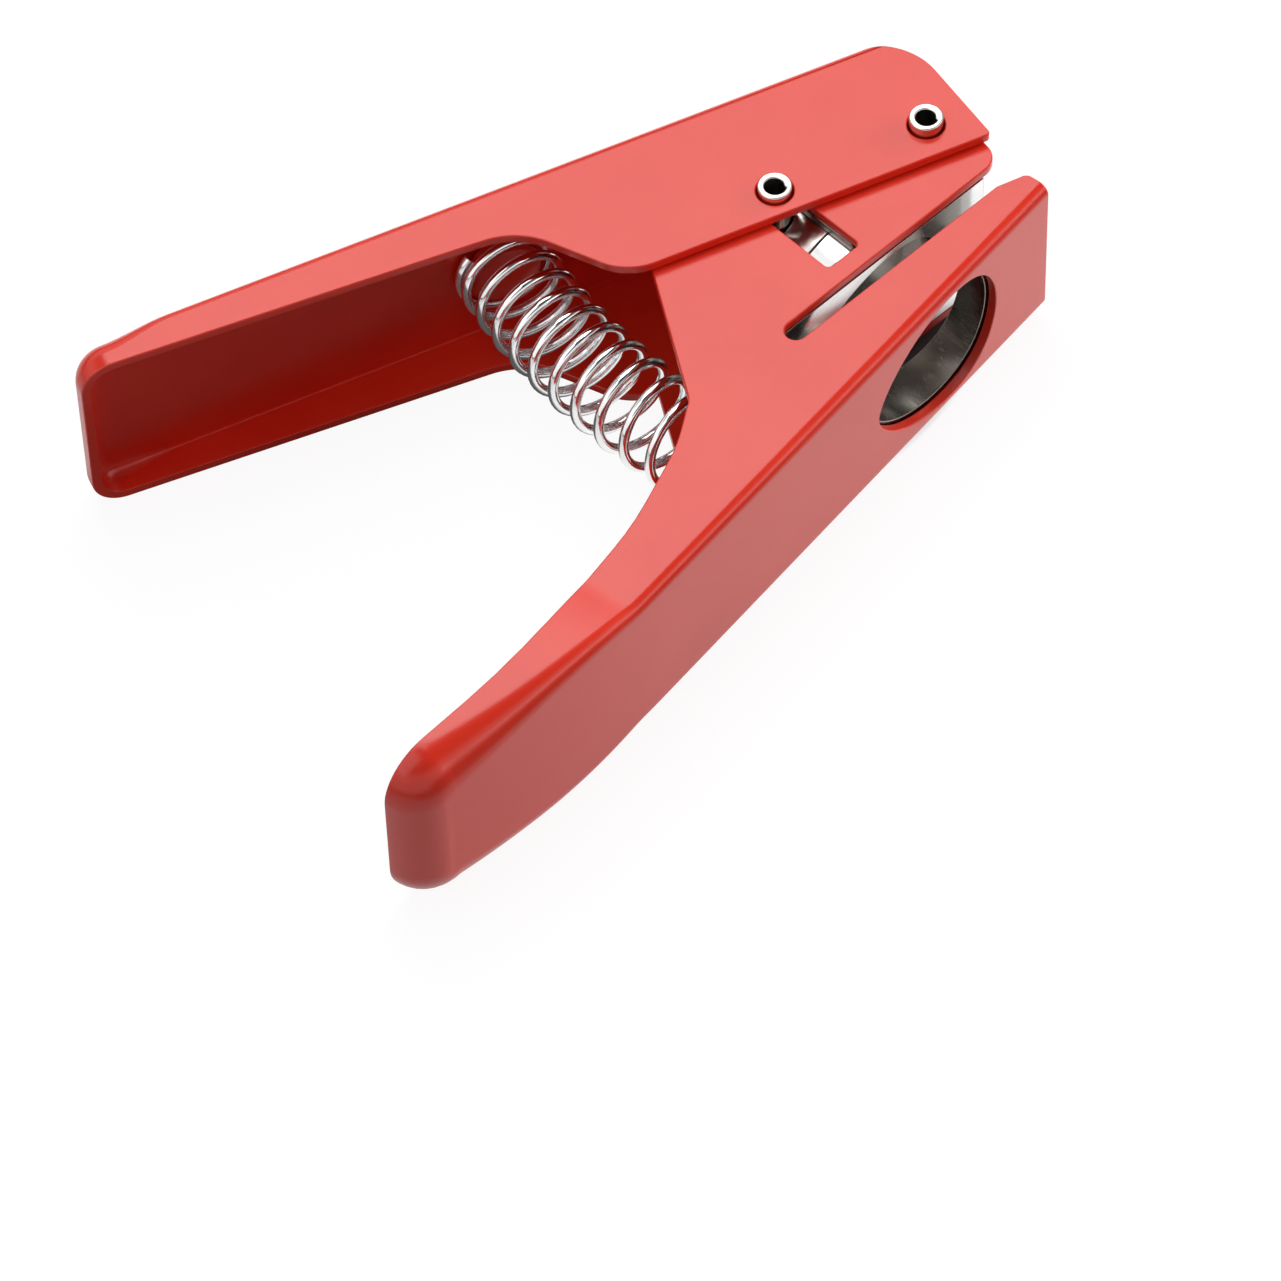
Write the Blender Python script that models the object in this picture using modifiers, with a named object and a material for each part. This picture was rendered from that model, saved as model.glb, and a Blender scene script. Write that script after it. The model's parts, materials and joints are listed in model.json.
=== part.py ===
import bpy
import bmesh
import numpy as np
from math import acos, ceil, cos, degrees, pi, radians, sin, sqrt, tan
from mathutils import Matrix, Vector

# Lever punch that cuts plectrums from plastic sheet. It lies on its far side on Z = 0.
# X runs along the base to the nose, Y from the base up to the handle and Z across the tool.
# All is drawn from the nose corner of the base, and the whole tool is then centred on its footprint.

MM = 0.001

# Sheet metal and fits
SHEET = 1.8 * MM            # both channels
FIT_GAP = 0.3 * MM          # between solids that touch or run on each other
SIDE_GAP = 0.3 * MM         # between the handle's flanges and the frame's side plates
BEND_RADIUS = 2.2 * MM      # outside radius of the folded edges
OVERRUN = 2.0 * MM          # how far a cutter passes the face it cuts
EDGE_ALLOWANCE = 0.2 * MM   # how far a trimming outline stays outside a web
EDGE_BREAK = 0.3 * MM       # least chamfer on a block's lower edges
WELD = 0.001 * MM           # vertices nearer than this are one

# Frame: the lower channel with its jaw
TOOL_WIDTH = 36.0 * MM      # across the handle and across the frame's flared tail
JAW_LENGTH = 53.7 * MM      # nose to the shoulder of the side plates' rear edge
GRIP_LENGTH = 106.5 * MM    # shoulder to the tail end
STOP_GAP = 1.26 * MM        # shoulder to the handle's web when the handle is closed
NOSE_HEIGHT = 4.6 * MM      # lower jaw's front edge
LIP_LENGTH = 5.2 * MM       # sloping lead-in of the lower jaw
LIP_ROUND = 1.5 * MM
UPPER_LIP_SETBACK = 0.1 * MM    # upper jaw's corner behind the nose corner
UPPER_LIP_ROUND = 3.8 * MM
FACE_ROUND = 6.0 * MM
SHOULDER_ROUND = 0.8 * MM
TAIL_CORNER = 9.0 * MM      # tail corner seen along Y
TAIL_FILLET = 7.5 * MM      # web to wall at the tail
RISE_RADIUS = 333.0 * MM    # arc that lifts the web towards the tail
FACE_SHARES = ((0.135, 0.72), (0.048, 0.925))   # of the jaw's height, both ways
REAR_EDGE_SHARES = ((0.165, 0.480, 0.10), (0.247, 0.376, 0.75), (0.407, 0.272, 1.5),
                    (0.725, 0.2125, 3.0), (1.05, 0.287, 0.0))
# The rear edge's shares are of the grip's length, of the jaw's height, and a radius in jaw heights
RISE_START_SHARE = 0.4725   # of the grip's length behind the shoulder
FLARE_START_SHARE = 0.529
FLARE_END_SHARE = 0.755
CREASE = 1.6 * MM           # over which the side plates turn outwards into the flare

# Throat, where the plastic sheet goes in
THROAT_TILT = radians(7.6)  # its floor rises towards the tail
THROAT_DEPTH = 52.9 * MM    # along the throat from below the nose to its closed end
THROAT_FLOOR = 6.25 * MM    # square to the throat, above the nose corner
THROAT_GAP = 3.8 * MM

# Pins and the lever
PIN_DIAMETER = 5.8 * MM
PIN_BORE = 3.5 * MM
PIN_STRIP = 0.45 * MM       # strip the pins are coiled from
PIN_INSET = 0.2 * MM        # far ends, under the handle's outer face
PIVOT_PROUD = 2.0 * MM      # near ends, over the handle's outer face
DRIVE_PROUD = 1.3 * MM
PIVOT_STRIP_ANGLE = radians(-67.0)  # where the strip ends in the bore
DRIVE_STRIP_ANGLE = radians(-55.0)
PIVOT_SETBACK = 3.1 * MM    # behind the nose
BRIDGE = 2.48 * MM          # guide block's walls under the drive pin's slot
DRIVE_ARM = 28.8 * MM       # pivot to drive pin
DRIVE_LEAN = radians(3.1)   # drive pin under the line through the pivot along the handle
PIN_PLAY = 0.2 * MM         # drive pin in the side windows
WINDOW_SPARE = 1.4 * MM     # window below the pin's lowest place
WINDOW_ROUND = 1.0 * MM

# Handle: the upper channel, drawn about the pivot along its own web
HANDLE_ANGLE = radians(26.2)    # web to base at rest
CLOSED_ANGLE = radians(1.2)     # web to base when closed
HANDLE_RISE = 20.2 * MM     # pivot to the web's outside
HANDLE_DROP = 6.6 * MM      # pivot to the flanges' lower front edge
HANDLE_NOSE = 5.3 * MM      # pivot to the flanges' front edge at the web
HANDLE_FOOT = 8.9 * MM      # pivot to the flanges' lower front corner
HANDLE_REACH = 147.3 * MM   # pivot to the tail
CROWN_ROUND = 12.0 * MM     # flanges' round front top
HANDLE_FOOT_ROUND = 0.8 * MM
NECK_SHARE = 0.394          # of the reach: where the deep front part of the flange ends
NECK_ROUND = 10.0 * MM
WAIST_SHARE = 0.478         # of the reach: where the shallow rear part starts
WAIST_DEPTH = 10.45 * MM    # flange depth there
WAIST_ROUND = 13.0 * MM
TAIL_DEPTH = 6.1 * MM       # flange depth at the tail
HANDLE_TAIL_CORNER = 6.0 * MM
HANDLE_TAIL_FILLET = 4.5 * MM
FILLET_START_SHARE = 3      # of the tail corner: where the bend starts to open into the fillet
FILLET_LENGTH_SHARE = 2     # of the tail corner: over which it opens

# Pick, punch and die set
PICK_LENGTH = 30.0 * MM
PICK_WIDTH = 24.8 * MM
PICK_POINT = 0.85 * MM      # third harmonic of the outline, which draws out its tip
PICK_SETBACK = 14.1 * MM    # along the throat, nose to the pick's broad end
WEB_HOLE_MARGIN = 0.8 * MM  # web's hole around the pick
PUNCH_LIFT = 2.6 * MM       # punch's face over the throat's ceiling at rest
PUNCH_HEIGHT = 8.3 * MM
CARRIER_CROWN = 1.6 * MM    # carrier over its pin slot
BLOCK_INSET = 1.0 * MM      # die and guide behind the side plates' front edges
STRIPPER = 2.0 * MM         # plate that pulls the sheet off the punch
GUIDE_HEIGHT = 20.8 * MM
GUIDE_HEEL_HEIGHT = 4.5 * MM
SPACER_LENGTH = 5.8 * MM

# Fasteners of the die set
SCREW_DIAMETER = 3.0 * MM
SCREW_HEAD_DIAMETER = 5.5 * MM
SCREW_HEAD_HEIGHT = 3.0 * MM
SCREW_SOCKET = 2.9 * MM     # across its corners
SCREW_RECESS = 0.5 * MM     # heads under the face they are sunk in
SCREW_COVER = 1.3 * MM      # material beyond a screw's or a dowel's end
DIE_SCREW_SPREAD = 17.0 * MM    # between the two screws
PUNCH_SCREW_SPREAD = 12.0 * MM
PUNCH_SCREW_GRIP = 5.5 * MM     # length in the punch
STRIPPER_SCREW_SPREAD = 9.0 * MM
STRIPPER_SCREW_DIAMETER = 2.5 * MM
STRIPPER_SCREW_HEAD = 4.7 * MM      # flat head's diameter
STRIPPER_SCREW_SOCKET = 1.7 * MM
STRIPPER_SCREW_LENGTH = 6.5 * MM
DOWEL_DIAMETER = 3.0 * MM
DOWEL_LENGTH = 14.0 * MM
DOWEL_SPREAD = 7.0 * MM
DOWEL_CHAMFER = 0.3 * MM

# Return spring and its seats
WIRE = 1.8 * MM
SPRING_DIAMETER = 17.9 * MM  # outside
SPRING_CLEARANCE = 2.3 * MM  # lowest coil to the die plate
SPRING_LEAN = 4.5 * MM      # how far the upper end is set further back than the lower
COILS = 14.12
CLOSED_PITCH = 2.2 * MM     # end coils
PITCH_GROWTH_SHARE = 0.15   # open coils' pitch at the base over that midway
COIL_POINTS = 9
SEAT_GAP = 0.7 * MM         # seat inside the coils
SEAT_HEIGHT = 3.0 * MM
SEAT_CHAMFER = 0.6 * MM

# Facets
ARC_STEP = radians(9.0)
ROUND_SIDES = 24
SMALL_SIDES = 16
BEND_STEPS = 4
CORNER_STEPS = 6
RISE_STEPS = 8
PICK_POINTS = 48
SMOOTH_ANGLE = radians(40.0)    # facets that meet at less are shaded as one surface

# Worked out from the sizes above
SQUEEZE = HANDLE_ANGLE - CLOSED_ANGLE
DRIVE_ANGLE = HANDLE_ANGLE - THROAT_TILT - DRIVE_LEAN
FRAME_WIDTH = TOOL_WIDTH - 2 * (SHEET + SIDE_GAP)
MIDDLE = TOOL_WIDTH / 2
FRAME_LENGTH = JAW_LENGTH + GRIP_LENGTH
RISE_START = -JAW_LENGTH - RISE_START_SHARE * GRIP_LENGTH
FLARE_START = -JAW_LENGTH - FLARE_START_SHARE * GRIP_LENGTH
FLARE_END = -JAW_LENGTH - FLARE_END_SHARE * GRIP_LENGTH
PIN_RADIUS = PIN_DIAMETER / 2
DIE_SET_WIDTH = FRAME_WIDTH - 2 * (SHEET + FIT_GAP)
DIE_SET_BACK = THROAT_DEPTH + FIT_GAP + SPACER_LENGTH
DIE_BOTTOM = SHEET + FIT_GAP
THROAT_CEILING = THROAT_FLOOR + THROAT_GAP
GUIDE_LOW = THROAT_CEILING + STRIPPER + FIT_GAP
GUIDE_TOP = GUIDE_LOW + GUIDE_HEIGHT
HEEL_TOP = GUIDE_LOW + GUIDE_HEEL_HEIGHT
SLOT_LOW = GUIDE_LOW + BRIDGE
PIN_LOW_V = SLOT_LOW + PIN_PLAY + PIN_RADIUS
COIL_RADIUS = (SPRING_DIAMETER - WIRE) / 2


def along_throat(u, v):
    """Point at u along the throat towards the nose and v square to it."""
    c, s = cos(THROAT_TILT), sin(THROAT_TILT)
    return Vector((c * u + s * v, c * v - s * u))


def throat_coordinates(point):
    c, s = cos(THROAT_TILT), sin(THROAT_TILT)
    return Vector((c * point.x - s * point.y, s * point.x + c * point.y))


def throat_line_height(x, v):
    """Height at x of the line that runs along the throat at v."""
    return (v - sin(THROAT_TILT) * x) / cos(THROAT_TILT)


PIVOT_V = PIN_LOW_V - DRIVE_ARM * sin(DRIVE_ANGLE - SQUEEZE)
PIVOT = Vector((-PIVOT_SETBACK, throat_line_height(-PIVOT_SETBACK, PIVOT_V)))
PIVOT_UV = throat_coordinates(PIVOT)
PIN_DRIFT = DRIVE_ARM * (1 - cos(DRIVE_ANGLE))
PIN_REST_UV = PIVOT_UV + DRIVE_ARM * Vector((-cos(DRIVE_ANGLE), sin(DRIVE_ANGLE)))
DRIVE_PIN = along_throat(*PIN_REST_UV)
STROKE = PIN_REST_UV.y - PIN_LOW_V
SLOT_U = PIVOT_UV.x - DRIVE_ARM + PIN_DRIFT / 2
SLOT_HALF = PIN_RADIUS + PIN_DRIFT / 2 + PIN_PLAY
WINDOW_LOW = PIN_LOW_V - PIN_RADIUS - WINDOW_SPARE
WINDOW_HIGH = PIN_REST_UV.y + PIN_RADIUS + PIN_PLAY
CLOSED_WEB = PIVOT.y + (HANDLE_RISE - SHEET) / cos(CLOSED_ANGLE)
JAW_HEIGHT = CLOSED_WEB + (JAW_LENGTH - PIVOT_SETBACK) * tan(CLOSED_ANGLE) - STOP_GAP
PICK_U = -PICK_SETBACK - PICK_LENGTH / 2
PUNCH_LOW = THROAT_CEILING + PUNCH_LIFT
CARRIER_LOW = PUNCH_LOW + PUNCH_HEIGHT + FIT_GAP
CARRIER_TOP = PIN_REST_UV.y + PIN_RADIUS + FIT_GAP + CARRIER_CROWN
FASTENER_U = -DIE_SET_BACK + SPACER_LENGTH / 2
PUNCH_SCREW_U = (SLOT_U + SLOT_HALF - PICK_SETBACK) / 2
STRIPPER_SCREW_U = PIVOT_UV.x - PIN_RADIUS
DIE_BOTTOM_V = (DIE_BOTTOM + sin(THROAT_TILT) * FASTENER_U) / cos(THROAT_TILT)
DIE_SCREW_HEAD_REACH = (SCREW_HEAD_DIAMETER / 2 + FIT_GAP) * tan(THROAT_TILT)
DIE_SCREW_SEAT = DIE_BOTTOM_V + DIE_SCREW_HEAD_REACH + SCREW_RECESS + SCREW_HEAD_HEIGHT
SPRING_SETBACK = -along_throat(-DIE_SET_BACK, 0).x + SPRING_CLEARANCE + SPRING_DIAMETER / 2


def rounded(corners):
    """Closed outline through (x, y, radius) corners, with each corner rounded by an arc."""
    points = []
    count = len(corners)
    for i, (x, y, radius) in enumerate(corners):
        here = Vector((x, y))
        if radius <= 0:
            points.append(here)
            continue
        before = Vector(corners[i - 1][:2]) - here
        after = Vector(corners[(i + 1) % count][:2]) - here
        half = acos(max(-1.0, min(1.0, before.normalized().dot(after.normalized())))) / 2
        tangent = min(radius / tan(half), before.length / 2, after.length / 2)
        radius = tangent * tan(half)
        start = here + before.normalized() * tangent
        end = here + after.normalized() * tangent
        centre = here + (before.normalized() + after.normalized()).normalized() * radius / sin(half)
        first, last = start - centre, end - centre
        turn = pi - 2 * half
        steps = max(2, ceil(turn / ARC_STEP))
        for k in range(steps + 1):
            a = turn * k / steps
            points.append(centre + (first * sin(turn - a) + last * sin(a)) / sin(turn))
    return points


def circle(centre, radius, sides=ROUND_SIDES):
    turns = [2 * pi * k / sides for k in range(sides)]
    return [Vector((centre[0] + radius * cos(a), centre[1] + radius * sin(a))) for a in turns]


def pick_outline(margin=0.0):
    """Plectrum in u and Z with its tip to the tail, as the envelope of its tangents' distances."""
    mean = (PICK_LENGTH + PICK_WIDTH) / 4 + margin
    stretch = (PICK_LENGTH - PICK_WIDTH) / 4
    points = []
    for k in range(PICK_POINTS):
        a = 2 * pi * k / PICK_POINTS
        reach = mean + stretch * cos(2 * a) + PICK_POINT * cos(3 * a)
        slope = -2 * stretch * sin(2 * a) - 3 * PICK_POINT * sin(3 * a)
        along = slope * sin(a) - reach * cos(a)
        points.append(Vector((PICK_U + along, -reach * sin(a) - slope * cos(a))))
    return points


def material(name, colour, roughness, metallic):
    made = bpy.data.materials.new(name)
    made.use_nodes = True
    shader = made.node_tree.nodes["Principled BSDF"]
    shader.inputs["Base Color"].default_value = (*colour, 1.0)
    shader.inputs["Roughness"].default_value = roughness
    shader.inputs["Metallic"].default_value = metallic
    return made


def mesh_from_curve(name, curve):
    """Mesh object of a filled curve, with its caps welded on."""
    holder = bpy.data.objects.new(name + "_curve", curve)
    bpy.context.scene.collection.objects.link(holder)
    bpy.context.view_layer.update()
    mesh = bpy.data.meshes.new_from_object(holder.evaluated_get(bpy.context.evaluated_depsgraph_get()))
    bpy.data.objects.remove(holder)
    bm = bmesh.new()
    bm.from_mesh(mesh)
    bmesh.ops.remove_doubles(bm, verts=bm.verts, dist=WELD)
    bmesh.ops.recalc_face_normals(bm, faces=bm.faces)
    bm.to_mesh(mesh)
    bm.free()
    mesh.name = name
    return bpy.data.objects.new(name, mesh)


def prism(name, outlines, low, high):
    """Flat outlines drawn from low to high along Z."""
    curve = bpy.data.curves.new(name, "CURVE")
    curve.dimensions = "2D"
    curve.fill_mode = "BOTH"
    curve.extrude = (high - low) / 2
    for outline in outlines:
        spline = curve.splines.new("POLY")
        spline.points.add(len(outline) - 1)
        for point, place in zip(spline.points, outline):
            point.co = (place[0], place[1], 0, 1)
        spline.use_cyclic_u = True
    made = mesh_from_curve(name, curve)
    made.data.transform(Matrix.Translation((0, 0, (low + high) / 2)))
    return made


def across(name, outline, width=None):
    """Side outline drawn across the tool, either right through or to a width about its middle."""
    if width is None:
        return prism(name, [outline], -OVERRUN, TOOL_WIDTH + OVERRUN)
    return prism(name, [outline], MIDDLE - width / 2, MIDDLE + width / 2)


STROKE_TURN = Matrix.Rotation(-THROAT_TILT, 4, "Z") @ Matrix.Rotation(-pi / 2, 4, "X")


def along_stroke(name, outline, low, high):
    """Outline in u and distance from the middle, drawn square to the throat from low to high."""
    made = prism(name, [outline], low, high)
    made.data.transform(Matrix.Translation((0, 0, MIDDLE)) @ STROKE_TURN)
    return made


def turned(name, profile, sides=SMALL_SIDES):
    """Profile of (radius, height), from the top middle down the outside, turned about Z."""
    mesh = bpy.data.meshes.new(name)
    mesh.from_pydata([(r, 0, z) for r, z in profile], [(k, k + 1) for k in range(len(profile) - 1)], [])
    made = bpy.data.objects.new(name, mesh)
    screw = made.modifiers.new("Turn", "SCREW")
    screw.steps = sides
    screw.render_steps = sides
    screw.use_merge_vertices = True
    screw.merge_threshold = WELD
    return made


def stand(made, u, side, v, head_down=False):
    """Stands a turned piece along the stroke at u and v, to one side of the tool's middle."""
    turn = STROKE_TURN @ Matrix.Rotation(pi if head_down else 0, 4, "X")
    made.matrix_world = Matrix.Translation((*along_throat(u, v), MIDDLE + side)) @ turn
    return made


def cut(body, cutters, guides, operation="DIFFERENCE"):
    for cutter in cutters:
        guides.objects.link(cutter)
        cutter.hide_render = True
        cutter.display_type = "WIRE"
        step = body.modifiers.new(cutter.name, "BOOLEAN")
        step.operation = operation
        step.object = cutter
        step.solver = "EXACT"


def smooth_share(t):
    t = min(max(t, 0.0), 1.0)
    return t * t * (3 - 2 * t)


def channel_stations(length, front, half_width, web_height, bend_radius, corner, breaks):
    """Stations from the open front back along one wall and round the tail's corner to its middle.

    Each is x, distance from the middle, the way inwards in x and z, the bend's radius and the web's height.
    """
    stations = []

    def add(x, z, inward_x, inward_z):
        radius = bend_radius(x)
        stations.append((x, z, inward_x, inward_z, radius, web_height(x + inward_x * radius)))

    for x in [front, *breaks]:
        add(x, half_width(x), 0, -1)
    side = half_width(-length)
    for k in range(CORNER_STEPS + 1):
        a = pi / 2 * k / CORNER_STEPS
        add(-length + corner * (1 - sin(a)), side - corner * (1 - cos(a)), sin(a), -cos(a))
    add(-length, 0, 1, 0)
    return stations


def channel(name, stations, height):
    """Folded channel with a closed tail: half a shell through the stations, mirrored and thickened."""
    bm = bmesh.new()
    rows = []
    for x, z, inward_x, inward_z, radius, web in stations:
        row = [bm.verts.new((x, height, z))]
        for k in range(BEND_STEPS + 1):
            a = pi / 2 * k / BEND_STEPS
            inset = radius * (1 - cos(a))
            drop = radius * (1 - sin(a))
            row.append(bm.verts.new((x + inward_x * inset, web + drop, z + inward_z * inset)))
        row.append(bm.verts.new((x + inward_x * radius, web, 0)))
        rows.append(row)
    for first, second in zip(rows, rows[1:]):
        for k in range(len(first) - 1):
            bm.faces.new((first[k], second[k], second[k + 1], first[k + 1]))
    bmesh.ops.remove_doubles(bm, verts=bm.verts, dist=WELD)
    bmesh.ops.dissolve_degenerate(bm, edges=bm.edges, dist=WELD)
    bmesh.ops.recalc_face_normals(bm, faces=bm.faces)
    wall = max(bm.faces, key=lambda face: face.calc_center_median().z)
    if wall.normal.z < 0:
        bmesh.ops.reverse_faces(bm, faces=bm.faces)
    mesh = bpy.data.meshes.new(name)
    bm.to_mesh(mesh)
    bm.free()
    made = bpy.data.objects.new(name, mesh)
    mirror = made.modifiers.new("Other half", "MIRROR")
    mirror.use_axis = (False, False, True)
    mirror.merge_threshold = WELD
    shell = made.modifiers.new("Sheet", "SOLIDIFY")
    shell.thickness = SHEET
    shell.offset = -1
    shell.use_even_offset = True
    return made


def frame_half_width(x):
    straight = 1 - min(max((x - FLARE_START) / (FLARE_END - FLARE_START), 0.0), 1.0)
    return TOOL_WIDTH / 2 - (TOOL_WIDTH - FRAME_WIDTH) / 2 * straight ** 2


def frame_web_height(x):
    back = max(0.0, RISE_START - x)
    return RISE_RADIUS - sqrt(RISE_RADIUS ** 2 - back ** 2)


def frame_bend(x):
    t = (x - RISE_START) / (TAIL_CORNER - FRAME_LENGTH - RISE_START)
    return BEND_RADIUS + (TAIL_FILLET - BEND_RADIUS) * min(max(t, 0.0), 1.0) ** 2


def handle_bend(x):
    t = (x + HANDLE_REACH) / HANDLE_TAIL_CORNER
    opened = smooth_share((FILLET_START_SHARE - t) / FILLET_LENGTH_SHARE)
    return BEND_RADIUS + (HANDLE_TAIL_FILLET - BEND_RADIUS) * opened


def plate_outline():
    """Side view of the frame, with the throat as a deep notch."""
    lip, upper_lip = -LIP_LENGTH, -UPPER_LIP_SETBACK
    corners = [(0, -OVERRUN, 0), (0, NOSE_HEIGHT, LIP_ROUND),
               (lip, throat_line_height(lip, THROAT_FLOOR), LIP_ROUND),
               (*along_throat(-THROAT_DEPTH, THROAT_FLOOR), THROAT_GAP / 2),
               (*along_throat(-THROAT_DEPTH, THROAT_CEILING), THROAT_GAP / 2),
               (upper_lip, throat_line_height(upper_lip, THROAT_CEILING), UPPER_LIP_ROUND)]
    for x_share, y_share in FACE_SHARES:
        corners.append((x_share * JAW_HEIGHT, y_share * JAW_HEIGHT, FACE_ROUND))
    corners.append((-JAW_LENGTH, JAW_HEIGHT, SHOULDER_ROUND))
    for x_share, y_share, radius_share in REAR_EDGE_SHARES:
        x = -JAW_LENGTH - x_share * GRIP_LENGTH
        corners.append((x, y_share * JAW_HEIGHT, radius_share * JAW_HEIGHT))
    corners.append((corners[-1][0], -OVERRUN, 0))
    return rounded(corners)


def slot_outline(low, high):
    """Slot along the stroke for the drive pin, between two heights."""
    corners = [(-SLOT_HALF, low), (SLOT_HALF, low), (SLOT_HALF, high), (-SLOT_HALF, high)]
    return rounded([(*along_throat(SLOT_U + u, v), WINDOW_ROUND) for u, v in corners])


def pin_hole(name, centre):
    return across(name, circle(centre, PIN_RADIUS + FIT_GAP))


def make_frame(guides):
    curve_end = TAIL_CORNER - FRAME_LENGTH
    flared = FLARE_START - CREASE / 2
    breaks = [flared + (curve_end - flared) * k / RISE_STEPS for k in range(RISE_STEPS)]
    stations = channel_stations(FRAME_LENGTH, JAW_HEIGHT, frame_half_width, frame_web_height, frame_bend,
                                TAIL_CORNER, [-JAW_LENGTH, RISE_START, FLARE_START + CREASE / 2, *breaks])
    frame = channel("frame", stations, JAW_HEIGHT + OVERRUN)
    frame.location.z = MIDDLE
    cut(frame, [across("frame_outline", plate_outline())], guides, "INTERSECT")
    hole = pick_outline(WEB_HOLE_MARGIN)
    cut(frame, [across("side_windows", slot_outline(WINDOW_LOW, WINDOW_HIGH)),
                pin_hole("frame_pivot_holes", PIVOT),
                along_stroke("web_hole", hole, -PICK_SETBACK, THROAT_FLOOR)], guides)
    return frame


def handle_outline():
    """Side view of the handle about the pivot, with its web at the bottom and its front at +X."""
    web = -HANDLE_RISE - EDGE_ALLOWANCE
    tail = -HANDLE_REACH - OVERRUN
    return rounded([(HANDLE_NOSE, web, CROWN_ROUND), (HANDLE_FOOT, HANDLE_DROP, HANDLE_FOOT_ROUND),
                    (-NECK_SHARE * HANDLE_REACH, HANDLE_DROP, NECK_ROUND),
                    (-WAIST_SHARE * HANDLE_REACH, WAIST_DEPTH - HANDLE_RISE, WAIST_ROUND),
                    (tail, TAIL_DEPTH - HANDLE_RISE, 0), (tail, web, 0)])


def make_handle(guides):
    opening = [FILLET_START_SHARE, FILLET_START_SHARE - FILLET_LENGTH_SHARE / 2]
    breaks = [-NECK_SHARE * HANDLE_REACH, *[share * HANDLE_TAIL_CORNER - HANDLE_REACH for share in opening]]
    front = max(HANDLE_NOSE, HANDLE_FOOT) + OVERRUN
    stations = channel_stations(HANDLE_REACH, front, lambda x: TOOL_WIDTH / 2,
                                lambda x: -HANDLE_RISE, handle_bend, HANDLE_TAIL_CORNER, breaks)
    handle = channel("handle", stations, HANDLE_DROP + OVERRUN)
    half = MIDDLE + OVERRUN
    arm = DRIVE_ARM * Vector((-cos(DRIVE_LEAN), sin(DRIVE_LEAN)))
    outline = prism("handle_outline", [handle_outline()], -half, half)
    holes = [prism("handle_pivot_holes", [circle((0, 0), PIN_RADIUS + FIT_GAP)], -half, half),
             prism("handle_drive_holes", [circle(arm, PIN_RADIUS + FIT_GAP)], -half, half)]
    place = Matrix.Translation((*PIVOT, MIDDLE)) @ Matrix.Rotation(-HANDLE_ANGLE, 4, "Z")
    for piece in (handle, outline, *holes):
        piece.matrix_world = place @ Matrix.Rotation(pi, 4, "X")
    cut(handle, [outline], guides, "INTERSECT")
    cut(handle, holes, guides)
    return handle


def make_pin(name, centre, proud, strip_angle):
    """Spring pin coiled from strip, whose inner end leaves a step in the bore."""
    bore = []
    for k in range(ROUND_SIDES + 1):
        share = k / ROUND_SIDES
        radius = (PIN_BORE - PIN_STRIP) / 2 + PIN_STRIP * share
        bore.append(Vector((radius * cos(2 * pi * share), radius * sin(2 * pi * share))))
    pin = prism(name, [circle((0, 0), PIN_RADIUS), bore], PIN_INSET, TOOL_WIDTH + proud)
    pin.data.transform(Matrix.Rotation(strip_angle, 4, "Z"))
    pin.location = (*centre, 0)
    return pin


def pair(spread):
    return (-spread / 2, spread / 2)


def fastener_holes(name, low, high):
    """Holes along the stroke for the screws and the dowels at the back of the die set."""
    holes = []
    for kind, spread, diameter in (("screw", DIE_SCREW_SPREAD, SCREW_DIAMETER),
                                   ("dowel", DOWEL_SPREAD, DOWEL_DIAMETER)):
        for k, side in enumerate(pair(spread)):
            outline = circle((FASTENER_U, side), diameter / 2 + FIT_GAP, SMALL_SIDES)
            holes.append(along_stroke("%s_%s_hole_%d" % (name, kind, k + 1), outline, low, high))
    return holes


def screw_hole(name, u, side, low, high, diameter):
    return along_stroke(name, circle((u, side), diameter / 2 + FIT_GAP, SMALL_SIDES), low, high)


def lower_edge_chamfers(name):
    """Cutter that clears the die plate's lower edges of the frame's bends."""
    leg = max(EDGE_BREAK, (2 - sqrt(2)) * (BEND_RADIUS - SHEET - FIT_GAP))
    half = DIE_SET_WIDTH / 2
    low, high = DIE_BOTTOM - OVERRUN, DIE_BOTTOM + leg + OVERRUN
    outer, inner = half + OVERRUN, half - leg - OVERRUN
    wedges = [[(side * outer, low), (side * outer, high), (side * inner, low)] for side in (-1, 1)]
    made = prism(name, wedges, -DIE_SET_BACK - OVERRUN, OVERRUN)
    made.data.transform(Matrix.Translation((0, 0, MIDDLE)) @ Matrix.Rotation(pi / 2, 4, "Y"))
    return made


def make_die_plate(guides):
    """Lower half of the die set. It lies on the web, and the pick drops through it."""
    lip = -LIP_LENGTH - BLOCK_INSET / 2
    back = along_throat(-DIE_SET_BACK, THROAT_FLOOR)
    outline = rounded([(-BLOCK_INSET, DIE_BOTTOM, 0),
                       (-BLOCK_INSET, NOSE_HEIGHT - BLOCK_INSET / 2, LIP_ROUND),
                       (lip, throat_line_height(lip, THROAT_FLOOR), LIP_ROUND),
                       (*back, 0),
                       (along_throat(-DIE_SET_BACK, 0).x, DIE_BOTTOM, 0)])
    die = across("die_plate", outline, DIE_SET_WIDTH)
    low, high = DIE_BOTTOM_V - OVERRUN, THROAT_FLOOR + OVERRUN
    cutters = [along_stroke("die_aperture", pick_outline(FIT_GAP), -PICK_SETBACK, high),
               lower_edge_chamfers("die_edges"), *fastener_holes("die", low, high)]
    for k, side in enumerate(pair(DIE_SCREW_SPREAD)):
        cutters.append(screw_hole("die_counterbore_%d" % (k + 1), FASTENER_U, side, low,
                                  DIE_SCREW_SEAT + FIT_GAP, SCREW_HEAD_DIAMETER))
    cut(die, cutters, guides)
    return die


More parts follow.
